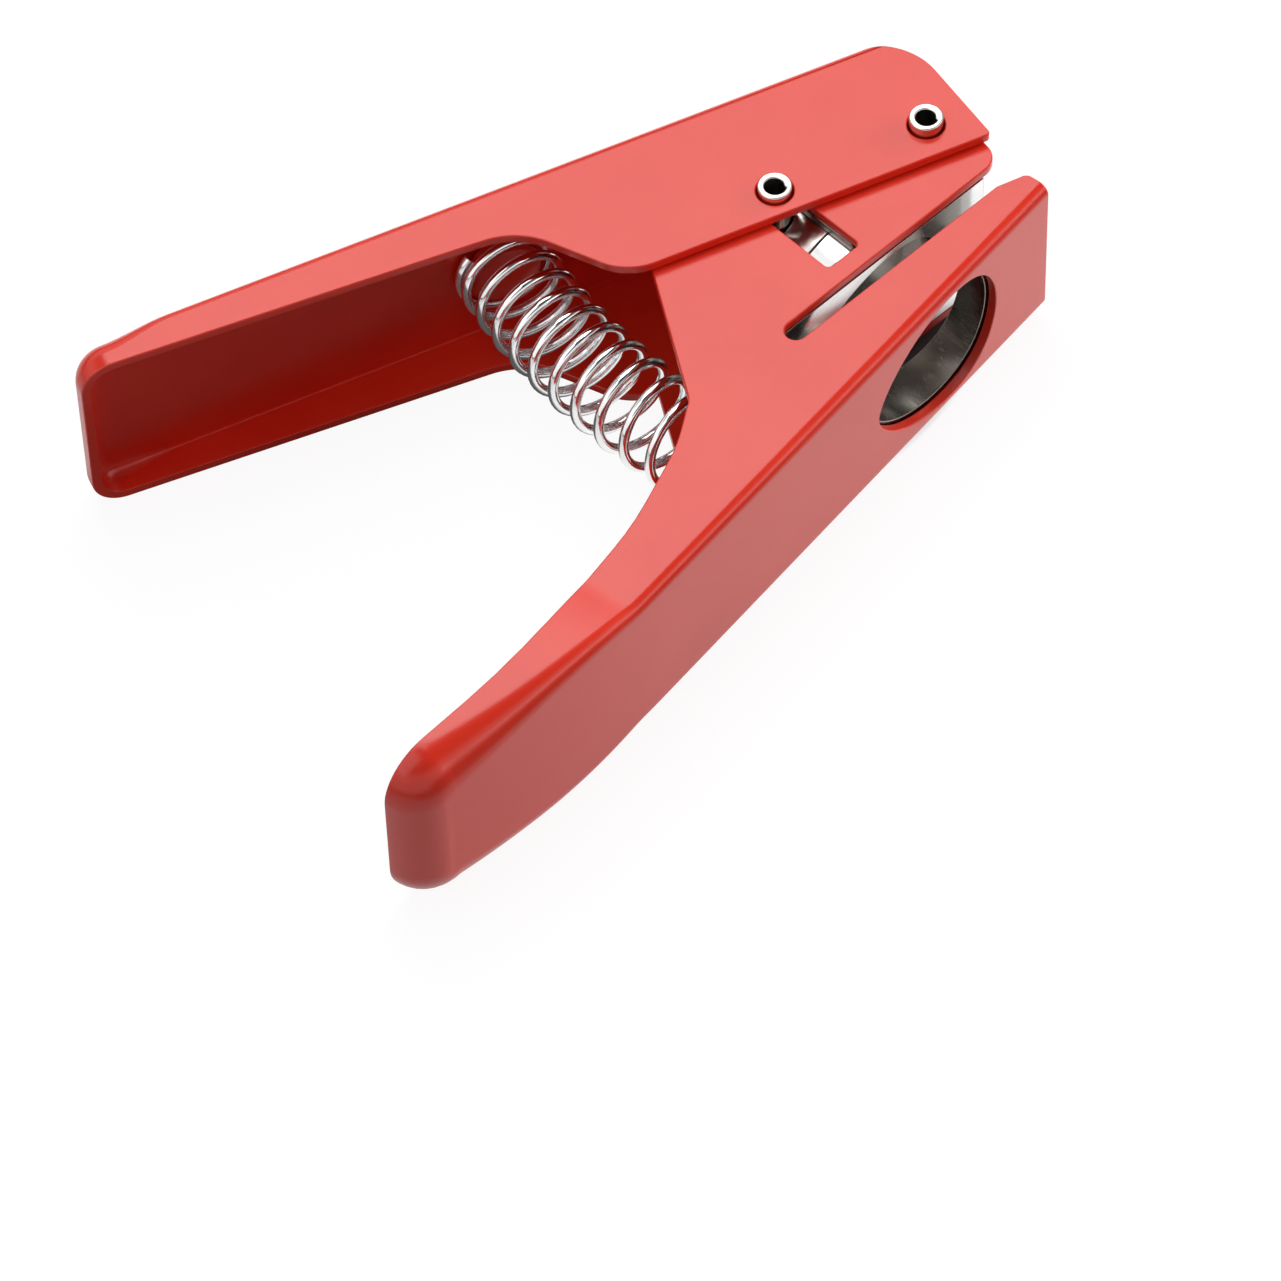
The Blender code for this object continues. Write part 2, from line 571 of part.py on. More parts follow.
def make_spacer(guides):
    """Sets the throat's height behind its closed end."""
    low, high = THROAT_FLOOR + FIT_GAP, THROAT_CEILING - FIT_GAP
    front = -DIE_SET_BACK + SPACER_LENGTH
    corners = [(front, low), (front, high), (-DIE_SET_BACK, high), (-DIE_SET_BACK, low)]
    spacer = across("throat_spacer", [along_throat(u, v) for u, v in corners], DIE_SET_WIDTH)
    cut(spacer, fastener_holes("spacer", low - OVERRUN, high + OVERRUN), guides)
    return spacer


def stripper_screw(name, slack=0.0):
    """Flat-head screw with its head's face at its origin, or the hole for it with some slack."""
    head = STRIPPER_SCREW_HEAD / 2 + slack
    shank = STRIPPER_SCREW_DIAMETER / 2 + slack
    face = OVERRUN if slack else 0
    end = -STRIPPER_SCREW_LENGTH - slack
    profile = [(0, face), (head, face), (head, -slack), (shank, shank - head - slack),
               (shank, end), (0, end)]
    if not slack:
        del profile[2]
    return turned(name, profile)


def stripper_screw_holes(name):
    """Countersunk holes for both screws, from the throat's ceiling up."""
    return [stand(stripper_screw("%s_sink_%d" % (name, k + 1), FIT_GAP), STRIPPER_SCREW_U, side,
                  THROAT_CEILING + SCREW_RECESS / 2, True)
            for k, side in enumerate(pair(STRIPPER_SCREW_SPREAD))]


def make_stripper_plate(guides):
    lip = -UPPER_LIP_SETBACK - UPPER_LIP_ROUND
    front = (lip, throat_line_height(lip, THROAT_CEILING))
    top = THROAT_CEILING + STRIPPER
    outline = [front, along_throat(throat_coordinates(Vector(front)).x, top),
               along_throat(-DIE_SET_BACK, top), along_throat(-DIE_SET_BACK, THROAT_CEILING)]
    plate = across("stripper_plate", outline, DIE_SET_WIDTH)
    low = THROAT_CEILING - OVERRUN
    cut(plate, [along_stroke("stripper_bore", pick_outline(FIT_GAP), low, top + OVERRUN),
                *fastener_holes("stripper", low, top + OVERRUN), *stripper_screw_holes("stripper")], guides)
    return plate


def make_guide_block(guides):
    """Guides the punch along its whole stroke. The pivot pin holds the die set through it."""
    heel_front = LIP_ROUND - THROAT_DEPTH
    lip = Vector((-UPPER_LIP_SETBACK - BLOCK_INSET, throat_line_height(-UPPER_LIP_SETBACK, THROAT_CEILING)))
    x_share, y_share = FACE_SHARES[0]
    forehead = Vector((x_share * JAW_HEIGHT - BLOCK_INSET, y_share * JAW_HEIGHT))
    lip_v, forehead_v = throat_coordinates(lip).y, throat_coordinates(forehead).y
    foot = lip.lerp(forehead, (GUIDE_LOW - lip_v) / (forehead_v - lip_v))
    crown = along_throat(throat_coordinates(forehead).x, GUIDE_TOP)
    outline = rounded([(*foot, LIP_ROUND),
                       (*crown, FACE_ROUND),
                       (*along_throat(heel_front, GUIDE_TOP), 0),
                       (*along_throat(heel_front, HEEL_TOP), 0),
                       (*along_throat(-DIE_SET_BACK, HEEL_TOP), 0),
                       (*along_throat(-DIE_SET_BACK, GUIDE_LOW), 0)])
    block = across("guide_block", outline, DIE_SET_WIDTH)
    low, high = GUIDE_LOW - OVERRUN, GUIDE_TOP + OVERRUN
    cut(block, [along_stroke("guide_bore", pick_outline(FIT_GAP), low, high),
                pin_hole("guide_pivot_bore", PIVOT),
                across("guide_pin_slot", slot_outline(SLOT_LOW, high)),
                *fastener_holes("guide", low, HEEL_TOP - SCREW_COVER + FIT_GAP),
                *stripper_screw_holes("guide")], guides)
    return block


def make_punch(guides):
    """Hardened cutter with the pick's section."""
    high = PUNCH_LOW + PUNCH_HEIGHT
    punch = along_stroke("punch", pick_outline(), PUNCH_LOW, high)
    low = high - PUNCH_SCREW_GRIP - FIT_GAP
    top = high + OVERRUN
    cut(punch, [screw_hole("punch_hole_%d" % (k + 1), PUNCH_SCREW_U, side, low, top, SCREW_DIAMETER)
                for k, side in enumerate(pair(PUNCH_SCREW_SPREAD))], guides)
    return punch


def make_carrier(guides):
    """Crosshead over the punch, with a cross slot that the drive pin pushes and pulls."""
    carrier = along_stroke("punch_carrier", pick_outline(), CARRIER_LOW, CARRIER_TOP)
    slot_half = PIN_RADIUS + FIT_GAP
    half_u = slot_half + PIN_DRIFT / 2
    corners = [(-half_u, -slot_half), (half_u, -slot_half), (half_u, slot_half), (-half_u, slot_half)]
    slot = rounded([(*along_throat(SLOT_U + u, PIN_REST_UV.y + v), slot_half) for u, v in corners])
    seat = CARRIER_TOP - SCREW_RECESS - SCREW_HEAD_HEIGHT
    cutters = [across("carrier_pin_slot", slot)]
    for k, side in enumerate(pair(PUNCH_SCREW_SPREAD)):
        cutters.append(screw_hole("carrier_hole_%d" % (k + 1), PUNCH_SCREW_U, side, CARRIER_LOW - OVERRUN,
                                  CARRIER_TOP, SCREW_DIAMETER))
        cutters.append(screw_hole("carrier_counterbore_%d" % (k + 1), PUNCH_SCREW_U, side, seat - FIT_GAP,
                                  CARRIER_TOP + OVERRUN, SCREW_HEAD_DIAMETER))
    cut(carrier, cutters, guides)
    return carrier


def socket(name, screw, across_corners, low, high, guides):
    """Hexagon socket, with the screw's own place."""
    hexagon = prism(name, [circle((0, 0), across_corners / 2, 6)], low, high)
    hexagon.matrix_world = screw.matrix_world
    cut(screw, [hexagon], guides)
    return screw


def cap_screw(name, u, side, seat, length, head_down, guides):
    """Socket cap screw with the face under its head at its origin."""
    head, shank = SCREW_HEAD_DIAMETER / 2, SCREW_DIAMETER / 2
    profile = [(0, SCREW_HEAD_HEIGHT), (head, SCREW_HEAD_HEIGHT), (head, 0), (shank, 0), (shank, -length),
               (0, -length)]
    screw = stand(turned(name, profile), u, side, seat, head_down)
    low, high = SCREW_HEAD_HEIGHT / 2, SCREW_HEAD_HEIGHT + OVERRUN
    return socket(name + "_socket", screw, SCREW_SOCKET, low, high, guides)


def make_fasteners(guides):
    """Screws and dowels, each with the word for the finish it has and the body it rides on."""
    made = []
    die_length = HEEL_TOP - SCREW_COVER - DIE_SCREW_SEAT
    carrier_seat = CARRIER_TOP - SCREW_RECESS - SCREW_HEAD_HEIGHT
    punch_length = carrier_seat - CARRIER_LOW + FIT_GAP + PUNCH_SCREW_GRIP
    for k, side in enumerate(pair(DIE_SCREW_SPREAD)):
        name = "die_screw_%d" % (k + 1)
        screw = cap_screw(name, FASTENER_U, side, DIE_SCREW_SEAT, die_length, True, guides)
        made.append((screw, "dark", "frame"))
    for k, side in enumerate(pair(PUNCH_SCREW_SPREAD)):
        name = "punch_screw_%d" % (k + 1)
        screw = cap_screw(name, PUNCH_SCREW_U, side, carrier_seat, punch_length, False, guides)
        made.append((screw, "dark", "punch"))
    low = (STRIPPER_SCREW_DIAMETER - STRIPPER_SCREW_HEAD) / 2
    for k, side in enumerate(pair(STRIPPER_SCREW_SPREAD)):
        name = "stripper_screw_%d" % (k + 1)
        screw = stand(stripper_screw(name), STRIPPER_SCREW_U, side, THROAT_CEILING + SCREW_RECESS / 2, True)
        socket(name + "_socket", screw, STRIPPER_SCREW_SOCKET, low, OVERRUN, guides)
        made.append((screw, "dark", "frame"))
    radius = DOWEL_DIAMETER / 2
    slim = radius - DOWEL_CHAMFER
    profile = [(0, 0), (slim, 0), (radius, -DOWEL_CHAMFER), (radius, DOWEL_CHAMFER - DOWEL_LENGTH),
               (slim, -DOWEL_LENGTH), (0, -DOWEL_LENGTH)]
    for k, side in enumerate(pair(DOWEL_SPREAD)):
        dowel = stand(turned("die_dowel_%d" % (k + 1), profile), FASTENER_U, side, HEEL_TOP - SCREW_COVER)
        made.append((dowel, "steel", "frame"))
    return made


def spring_centre():
    """Where the inner faces of the two webs would meet: the spring's line is an arc about it."""
    rise = HANDLE_RISE - SHEET + cos(HANDLE_ANGLE) * (PIVOT.y - SHEET)
    return Vector((PIVOT.x + rise / sin(HANDLE_ANGLE), SHEET))


def spring_line(turn):
    """Point and outward direction of the spring's middle line at an angle up from the base."""
    outward = Vector((-cos(turn), sin(turn)))
    lean = SPRING_LEAN * smooth_share(turn / HANDLE_ANGLE)
    return spring_centre() + outward * (spring_centre().x + SPRING_SETBACK + lean), outward


def spring_points():
    """Helix about the spring's line, with close end coils that lie on the webs."""
    bend = spring_centre().x + SPRING_SETBACK
    lift = FIT_GAP + WIRE / 2
    start, end = lift / bend, HANDLE_ANGLE - lift / bend
    closed = CLOSED_PITCH / bend
    spread = end - start - 2 * closed
    points = []
    steps = round(COILS * COIL_POINTS)
    for k in range(steps + 1):
        coil = COILS * k / steps
        t = min(max((coil - 1) / (COILS - 2), 0), 1)
        opened = spread * t * (1 + PITCH_GROWTH_SHARE * (1 - t))
        closed_coils = min(coil, 1) + max(coil - COILS + 1, 0)
        middle, outward = spring_line(start + closed * closed_coils + opened)
        a = 2 * pi * coil
        points.append(Vector((*(middle + outward * COIL_RADIUS * cos(a)), MIDDLE + COIL_RADIUS * sin(a))))
    return points


def least_gap(points):
    """Least distance between the surfaces of two turns, measured on the points."""
    places = np.array([tuple(point) for point in points])
    apart = np.linalg.norm(places[:, None] - places[None], axis=2)
    index = np.arange(len(places))
    far = np.abs(index[:, None] - index[None]) > COIL_POINTS // 2
    return apart[far].min() - WIRE


def make_spring():
    points = spring_points()
    print("return_spring: least gap to itself %.2f mm" % (least_gap(points) / MM))
    curve = bpy.data.curves.new("return_spring", "CURVE")
    curve.dimensions = "3D"
    curve.bevel_depth = WIRE / 2
    curve.bevel_resolution = 1
    curve.use_fill_caps = True
    spline = curve.splines.new("POLY")
    spline.points.add(len(points) - 1)
    for point, place in zip(spline.points, points):
        point.co = (*place, 1)
    return bpy.data.objects.new("return_spring", curve)


def make_seat(name, turn, up):
    """Round button on the web that keeps the end coil in its place."""
    radius = COIL_RADIUS - WIRE / 2 - SEAT_GAP
    profile = [(0, SEAT_HEIGHT), (radius - SEAT_CHAMFER, SEAT_HEIGHT), (radius, SEAT_HEIGHT - SEAT_CHAMFER),
               (radius, 0), (0, 0)]
    seat = turned(name, profile, ROUND_SIDES)
    place, outward = spring_line(turn)
    side = up.cross(Vector((0, 0, 1)))
    axes = Matrix((side, up.cross(side), up)).transposed().to_4x4()
    seat.matrix_world = Matrix.Translation((*(place + up.xy * FIT_GAP), MIDDLE)) @ axes
    return seat


def make_parts(guides):
    """Every piece with its finish and the body it belongs to."""
    up, down = Vector((0, 1, 0)), -Vector((sin(HANDLE_ANGLE), cos(HANDLE_ANGLE), 0))
    return [(make_frame(guides), "paint", "frame"),
            (make_handle(guides), "paint", "handle"),
            (make_pin("pivot_pin", PIVOT, PIVOT_PROUD, PIVOT_STRIP_ANGLE), "nickel", "frame"),
            (make_pin("drive_pin", DRIVE_PIN, DRIVE_PROUD, DRIVE_STRIP_ANGLE), "nickel", "handle"),
            (make_punch(guides), "steel", "punch"),
            (make_carrier(guides), "nickel", "punch"),
            (make_guide_block(guides), "nickel", "frame"),
            (make_stripper_plate(guides), "steel", "frame"),
            (make_die_plate(guides), "nickel", "frame"),
            (make_spacer(guides), "steel", "frame"),
            (make_spring(), "spring", "frame"),
            (make_seat("lower_spring_seat", 0, up), "paint", "frame"),
            (make_seat("upper_spring_seat", HANDLE_ANGLE, down), "paint", "handle"),
            *make_fasteners(guides)]


def assemble(parts, tool, finishes):
    """Hangs every piece and its cutters on its body, whose empty lies on that body's joint."""
    root = bpy.data.objects.new("tool_origin", None)
    tool.objects.link(root)
    places = {"frame": (0, 0, 0), "handle": (*PIVOT, MIDDLE),
              "punch": (*along_throat(PICK_U, PUNCH_LOW), MIDDLE)}
    bodies = {}
    for name, place in places.items():
        bodies[name] = bpy.data.objects.new(name + "_body", None)
        tool.objects.link(bodies[name])
        bodies[name].parent = root
        bodies[name].location = place
    for part, finish, body in parts:
        tool.objects.link(part)
        part.data.materials.append(finishes[finish])
        cutters = [step.object for step in part.modifiers if step.type == "BOOLEAN"]
        for piece in (part, *cutters):
            piece.parent = bodies[body]
            piece.matrix_parent_inverse = Matrix.Translation(places[body]).inverted()
        if part.type == "MESH":
            part.data.shade_smooth()
            part.data.set_sharp_from_angle(angle=SMOOTH_ANGLE)
    return root


def centre_on_footprint(root, parts):
    """Moves the tool so that the origin is in the middle of the face that it lies on."""
    bpy.context.view_layer.update()
    graph = bpy.context.evaluated_depsgraph_get()
    places = []
    for part in parts:
        shape = part.evaluated_get(graph)
        mesh = shape.to_mesh()
        places += [tuple(shape.matrix_world @ vertex.co) for vertex in mesh.vertices]
        shape.to_mesh_clear()
    places = np.array(places)
    low, high = places.min(axis=0), places.max(axis=0)
    root.location = (-(low[0] + high[0]) / 2, -(low[1] + high[1]) / 2, -low[2])
    bpy.context.view_layer.update()
    print("size %.2f x %.2f x %.2f mm" % tuple((high - low) / MM))
    for name, place in (("nose corner", Vector((0, 0))), ("pivot", PIVOT), ("drive pin", DRIVE_PIN)):
        moved = place + root.location.xy
        print("%s at %.3f, %.3f mm" % (name, moved.x / MM, moved.y / MM))
    print("stroke %.3f mm for %.1f degrees" % (STROKE / MM, degrees(SQUEEZE)))


def main():
    for old in list(bpy.data.objects):
        bpy.data.objects.remove(old)
    tool = bpy.data.collections.new("plectrum_punch")
    guides = bpy.data.collections.new("cutters")
    bpy.context.scene.collection.children.link(tool)
    bpy.context.scene.collection.children.link(guides)
    finishes = {"paint": material("red powder coat", (0.78, 0.09, 0.07), 0.38, 0.0),
                "nickel": material("nickel plate", (0.75, 0.73, 0.69), 0.25, 1.0),
                "steel": material("polished tool steel", (0.68, 0.68, 0.68), 0.2, 1.0),
                "dark": material("blackened steel", (0.05, 0.05, 0.055), 0.45, 1.0),
                "spring": material("bright spring wire", (0.8, 0.8, 0.8), 0.18, 1.0)}
    parts = make_parts(guides)
    root = assemble(parts, tool, finishes)
    centre_on_footprint(root, [part for part, finish, body in parts])


main()
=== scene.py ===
import json
from functools import partial
from math import acos, ceil, cos, pi, radians, sin, sqrt, tan

import bmesh
import bpy
from mathutils import Matrix, Vector


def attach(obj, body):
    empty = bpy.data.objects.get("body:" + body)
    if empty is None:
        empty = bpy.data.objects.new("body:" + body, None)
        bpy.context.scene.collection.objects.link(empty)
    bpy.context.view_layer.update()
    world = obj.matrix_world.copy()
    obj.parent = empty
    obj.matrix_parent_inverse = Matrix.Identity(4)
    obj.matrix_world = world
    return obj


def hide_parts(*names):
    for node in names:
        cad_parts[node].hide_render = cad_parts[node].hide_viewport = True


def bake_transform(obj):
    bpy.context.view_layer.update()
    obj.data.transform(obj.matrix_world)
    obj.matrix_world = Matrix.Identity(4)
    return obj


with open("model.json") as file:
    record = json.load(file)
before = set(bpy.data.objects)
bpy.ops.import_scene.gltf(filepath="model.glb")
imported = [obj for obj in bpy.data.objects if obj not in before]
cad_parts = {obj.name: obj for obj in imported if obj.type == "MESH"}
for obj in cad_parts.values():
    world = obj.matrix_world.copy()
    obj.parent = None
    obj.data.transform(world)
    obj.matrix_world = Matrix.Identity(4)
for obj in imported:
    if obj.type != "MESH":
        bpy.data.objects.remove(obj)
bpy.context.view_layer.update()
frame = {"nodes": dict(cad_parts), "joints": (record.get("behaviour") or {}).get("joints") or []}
mm = 0.001
print("frame:", len(frame["nodes"]), "nodes")

# The tool lies on its far side. It is drawn from the nose corner of its base:
# x along the base to the nose, y from the base up to the handle, z across the tool.
tool = {
    "width": 36.0 * mm,          # across the handle and the flared tail
    "sheet": 1.8 * mm,
    "fit": 0.3 * mm,             # gap between pieces that run on each other
    "sideGap": 0.3 * mm,
    "bend": 2.2 * mm,            # outside radius of the folds
    "overrun": 2.0 * mm,         # cutters past the faces they cut
    "weld": 0.002 * mm,
    "merge": 0.12 * mm,          # corners nearer than this are one before the edges are rounded
    "mergeFine": 0.01 * mm,      # the same for pieces with small features
    "flatAngle": radians(0.1),
    "faceWeight": 100,
    "arcStep": radians(4.0),
    "holeSides": 48,
    "smoothAngle": radians(32.0),
}

throat = {
    "tilt": radians(7.6),
    "depth": 52.9 * mm,
    "floor": 6.25 * mm,
    "gap": 3.8 * mm,
    "stripper": 2.0 * mm,        # plate over the gap
}

# The handle turns about the hinge pin, and its arm pushes the punch down with the drive pin
linkage = {
    "restAngle": radians(26.2),
    "closedAngle": radians(1.2),
    "rise": 20.2 * mm,           # from the hinge to the top of the handle
    "stopGap": 1.26 * mm,        # left over the jaw when the handle is closed
    "pinDiameter": 5.8 * mm,
    "pivotSetback": 3.1 * mm,
    "bridge": 2.48 * mm,         # guide block left under the slot
    "arm": 28.8 * mm,
    "lean": radians(3.1),        # of the arm, out of line with the handle
    "play": 0.2 * mm,
}

pick = {
    "length": 30.0 * mm,
    "width": 24.8 * mm,
    "point": 0.85 * mm,
    "setback": 14.1 * mm,
    "points": 120,
}


def alongThroat(u, v):
    c, s = cos(throat["tilt"]), sin(throat["tilt"])
    return Vector((c * u + s * v, c * v - s * u))


def toThroat(point):
    c, s = cos(throat["tilt"]), sin(throat["tilt"])
    return Vector((c * point.x - s * point.y, s * point.x + c * point.y))


def throatHeight(x, v):
    return (v - sin(throat["tilt"]) * x) / cos(throat["tilt"])


def smoothShare(t):
    t = min(max(t, 0.0), 1.0)
    return t * t * (3 - 2 * t)


# Places that follow from the sizes
middle = tool["width"] / 2
pinRadius = linkage["pinDiameter"] / 2
squeeze = linkage["restAngle"] - linkage["closedAngle"]
driveAngle = linkage["restAngle"] - throat["tilt"] - linkage["lean"]
ceiling = throat["floor"] + throat["gap"]
guideLow = ceiling + throat["stripper"] + tool["fit"]
slotLow = guideLow + linkage["bridge"]
pinLowV = slotLow + linkage["play"] + pinRadius
pivotV = pinLowV - linkage["arm"] * sin(driveAngle - squeeze)
pivot = Vector((-linkage["pivotSetback"], throatHeight(-linkage["pivotSetback"], pivotV)))
pivotUV = toThroat(pivot)
pinDrift = linkage["arm"] * (1 - cos(driveAngle))
pinUV = pivotUV + linkage["arm"] * Vector((-cos(driveAngle), sin(driveAngle)))
drivePin = alongThroat(*pinUV)
slotU = pivotUV.x - linkage["arm"] + pinDrift / 2
slotHalf = pinRadius + pinDrift / 2 + linkage["play"]
pickU = -pick["setback"] - pick["length"] / 2

swing = next(joint for joint in frame["joints"] if joint["name"] == "handle_swing")
toWorld = Matrix.Translation(Vector(swing["pos_m"]) - Vector((*pivot, middle)))
strokeTurn = Matrix.Rotation(-throat["tilt"], 4, "Z") @ Matrix.Rotation(-pi / 2, 4, "X")
print("places: pivot %.2f, %.2f mm" % (pivot.x / mm, pivot.y / mm))


# Mesh making
def newPiece(name, mesh):
    piece = bpy.data.objects.new(name, mesh)
    bpy.context.scene.collection.objects.link(piece)
    return piece


def fromBmesh(name, bm, recalc=True):
    bmesh.ops.remove_doubles(bm, verts=bm.verts, dist=tool["weld"])
    if recalc:
        bmesh.ops.recalc_face_normals(bm, faces=bm.faces)
    mesh = bpy.data.meshes.new(name)
    bm.to_mesh(mesh)
    bm.free()
    return newPiece(name, mesh)


def rounded(corners):
    points = []
    count = len(corners)
    for i, (x, y, radius) in enumerate(corners):
        here = Vector((x, y))
        if radius <= 0:
            points.append(here)
            continue
        before = Vector(corners[i - 1][:2]) - here
        after = Vector(corners[(i + 1) % count][:2]) - here
        half = acos(max(-1.0, min(1.0, before.normalized().dot(after.normalized())))) / 2
        tangent = min(radius / tan(half), before.length / 2, after.length / 2)
        radius = tangent * tan(half)
        start = here + before.normalized() * tangent
        end = here + after.normalized() * tangent
        centre = here + (before.normalized() + after.normalized()).normalized() * radius / sin(half)
        turn = pi - 2 * half
        steps = max(3, ceil(turn / tool["arcStep"]))
        for k in range(steps + 1):
            a = turn * k / steps
            points.append(centre + ((start - centre) * sin(turn - a) + (end - centre) * sin(a)) / sin(turn))
    return points


def circle(centre, radius, sides=tool["holeSides"]):
    turns = [2 * pi * k / sides for k in range(sides)]
    return [Vector((centre[0] + radius * cos(a), centre[1] + radius * sin(a))) for a in turns]


def pickOutline(margin=0.0):
    mean = (pick["length"] + pick["width"]) / 4 + margin
    stretch = (pick["length"] - pick["width"]) / 4
    points = []
    for k in range(pick["points"]):
        a = 2 * pi * k / pick["points"]
        reach = mean + stretch * cos(2 * a) + pick["point"] * cos(3 * a)
        slope = -2 * stretch * sin(2 * a) - 3 * pick["point"] * sin(3 * a)
        points.append(Vector((pickU - reach * cos(a) + slope * sin(a), -reach * sin(a) - slope * cos(a))))
    return points


def prism(name, outline, low, high):
    bm = bmesh.new()
    bottom = [bm.verts.new((x, y, low)) for x, y in outline]
    top = [bm.verts.new((x, y, high)) for x, y in outline]
    bm.faces.new(bottom)
    bm.faces.new(top)
    for k in range(len(outline)):
        bm.faces.new((bottom[k - 1], bottom[k], top[k], top[k - 1]))
    return fromBmesh(name, bm)


def across(name, outline, width=None):
    half = width / 2 if width else middle + tool["overrun"]
    return prism(name, outline, middle - half, middle + half)


def alongStroke(name, outline, low, high):
    piece = prism(name, outline, low, high)
    piece.data.transform(Matrix.Translation((0, 0, middle)) @ strokeTurn)
    return piece


def turned(name, profile, sides):
    bm = bmesh.new()
    rings = []
    for radius, height in profile:
        count = sides if radius > 0 else 1
        turns = [2 * pi * k / sides for k in range(count)]
        rings.append([bm.verts.new((radius * cos(a), radius * sin(a), height)) for a in turns])
    for first, second in zip(rings, rings[1:]):
        for k in range(sides):
            ring = [first[k % len(first)], first[(k + 1) % len(first)],
                    second[(k + 1) % len(second)], second[k % len(second)]]
            bm.faces.new(list(dict.fromkeys(ring)))
    return fromBmesh(name, bm)


def standAt(u, side, v, headDown=False):
    flip = Matrix.Rotation(pi if headDown else 0, 4, "X")
    return Matrix.Translation((*alongThroat(u, v), middle + side)) @ strokeTurn @ flip


def bake(piece):
    bpy.context.view_layer.update()
    graph = bpy.context.evaluated_depsgraph_get()
    mesh = bpy.data.meshes.new_from_object(piece.evaluated_get(graph))
    piece.modifiers.clear()
    piece.data = mesh
    return piece


def carve(piece, cutters, operation="DIFFERENCE"):
    for cutter in cutters:
        step = piece.modifiers.new("cut", "BOOLEAN")
        step.operation = operation
        step.object = cutter
        step.solver = "EXACT"
    bake(piece)
    for cutter in cutters:
        bpy.data.objects.remove(cutter)
    return piece


def soften(piece, width, segments=3, merge=tool["mergeFine"]):
    bm = bmesh.new()
    bm.from_mesh(piece.data)
    bmesh.ops.remove_doubles(bm, verts=bm.verts, dist=merge)
    bmesh.ops.dissolve_degenerate(bm, edges=bm.edges, dist=tool["mergeFine"])
    bmesh.ops.dissolve_limit(bm, angle_limit=tool["flatAngle"], verts=bm.verts, edges=bm.edges)
    bm.to_mesh(piece.data)
    bm.free()
    bevel = piece.modifiers.new("edges", "BEVEL")
    bevel.width = width
    bevel.segments = segments
    bevel.limit_method = "ANGLE"
    bevel.angle_limit = tool["smoothAngle"]
    bevel.use_clamp_overlap = False
    bevel.loop_slide = False
    return bake(piece)


def settle(piece, material, body, nodes, ride=True):
    piece.data.transform(toWorld)
    piece.data.materials.clear()
    piece.data.materials.append(material)
    piece.data.shade_smooth()
    piece.data.set_sharp_from_angle(angle=tool["smoothAngle"])
    even = piece.modifiers.new("even shading", "WEIGHTED_NORMAL")
    even.keep_sharp = True
    even.weight = tool["faceWeight"]
    bake(piece)
    if ride:
        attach(piece, body)
    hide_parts(*nodes)
    return piece


# Node helpers, for materials and for geometry
def addNode(tree, kind, inputs=None, **settings):
    made = tree.nodes.new(kind)
    for key, value in settings.items():
        setattr(made, key, value)
    for key, value in (inputs or {}).items():
        if isinstance(value, bpy.types.NodeSocket):
            tree.links.new(value, made.inputs[key])
        else:
            made.inputs[key].default_value = value
    return made


def mathNode(tree, operation, first, second=0.0):
    return addNode(tree, "ShaderNodeMath", {0: first, 1: second}, operation=operation).outputs[0]


def startMaterial(name):
    made = bpy.data.materials.new(name)
    made.use_nodes = True
    tree = made.node_tree
    place = addNode(tree, "ShaderNodeTexCoord").outputs["Object"]
    return made, tree, tree.nodes["Principled BSDF"], place


def noise(tree, place, scale, detail=2.0, roughness=0.5):
    return addNode(tree, "ShaderNodeTexNoise", {"Vector": place, "Scale": scale, "Detail": detail,
                                                "Roughness": roughness}).outputs["Fac"]


noiseSpan = (0.3, 0.7)       # where most of a noise lies


def spread(tree, value, low, high, fromLow=noiseSpan[0], fromHigh=noiseSpan[1]):
    return addNode(tree, "ShaderNodeMapRange", {"Value": value, "From Min": fromLow, "From Max": fromHigh,
                                                "To Min": low, "To Max": high}).outputs["Result"]


# A Mix node has its two colours in inputs 6 and 7 and the mixed one in output 2
def mixColour(tree, factor, first, second):
    made = addNode(tree, "ShaderNodeMix", data_type="RGBA")
    for key, value in ((0, factor), (6, first), (7, second)):
        if isinstance(value, bpy.types.NodeSocket):
            tree.links.new(value, made.inputs[key])
        else:
            made.inputs[key].default_value = value
    return made.outputs[2]


def bump(tree, height, strength, distance):
    inputs = {"Height": height, "Strength": strength, "Distance": distance}
    return addNode(tree, "ShaderNodeBump", inputs).outputs["Normal"]


# Materials
paint = {
    "deep": (0.84, 0.030, 0.012, 1),
    "light": (0.89, 0.040, 0.016, 1),
    "cloud": 45.0,
    "peel": 700.0,               # fine orange peel
    "peelDepth": 0.012 * mm,
    "peelStrength": 0.08,
    "grain": 900.0,
    "roughness": (0.24, 0.27),
    "ior": 1.55,
}


def powderCoat():
    made, tree, shader, place = startMaterial("red powder coat")
    cloud = noise(tree, place, paint["cloud"], 3.0)
    tree.links.new(mixColour(tree, spread(tree, cloud, 0, 1), paint["deep"], paint["light"]),
                   shader.inputs["Base Color"])
    grain = noise(tree, place, paint["grain"])
    tree.links.new(spread(tree, grain, *paint["roughness"]), shader.inputs["Roughness"])
    peel = noise(tree, place, paint["peel"])
    tree.links.new(bump(tree, peel, paint["peelStrength"], paint["peelDepth"]), shader.inputs["Normal"])
    shader.inputs["IOR"].default_value = paint["ior"]
    return made


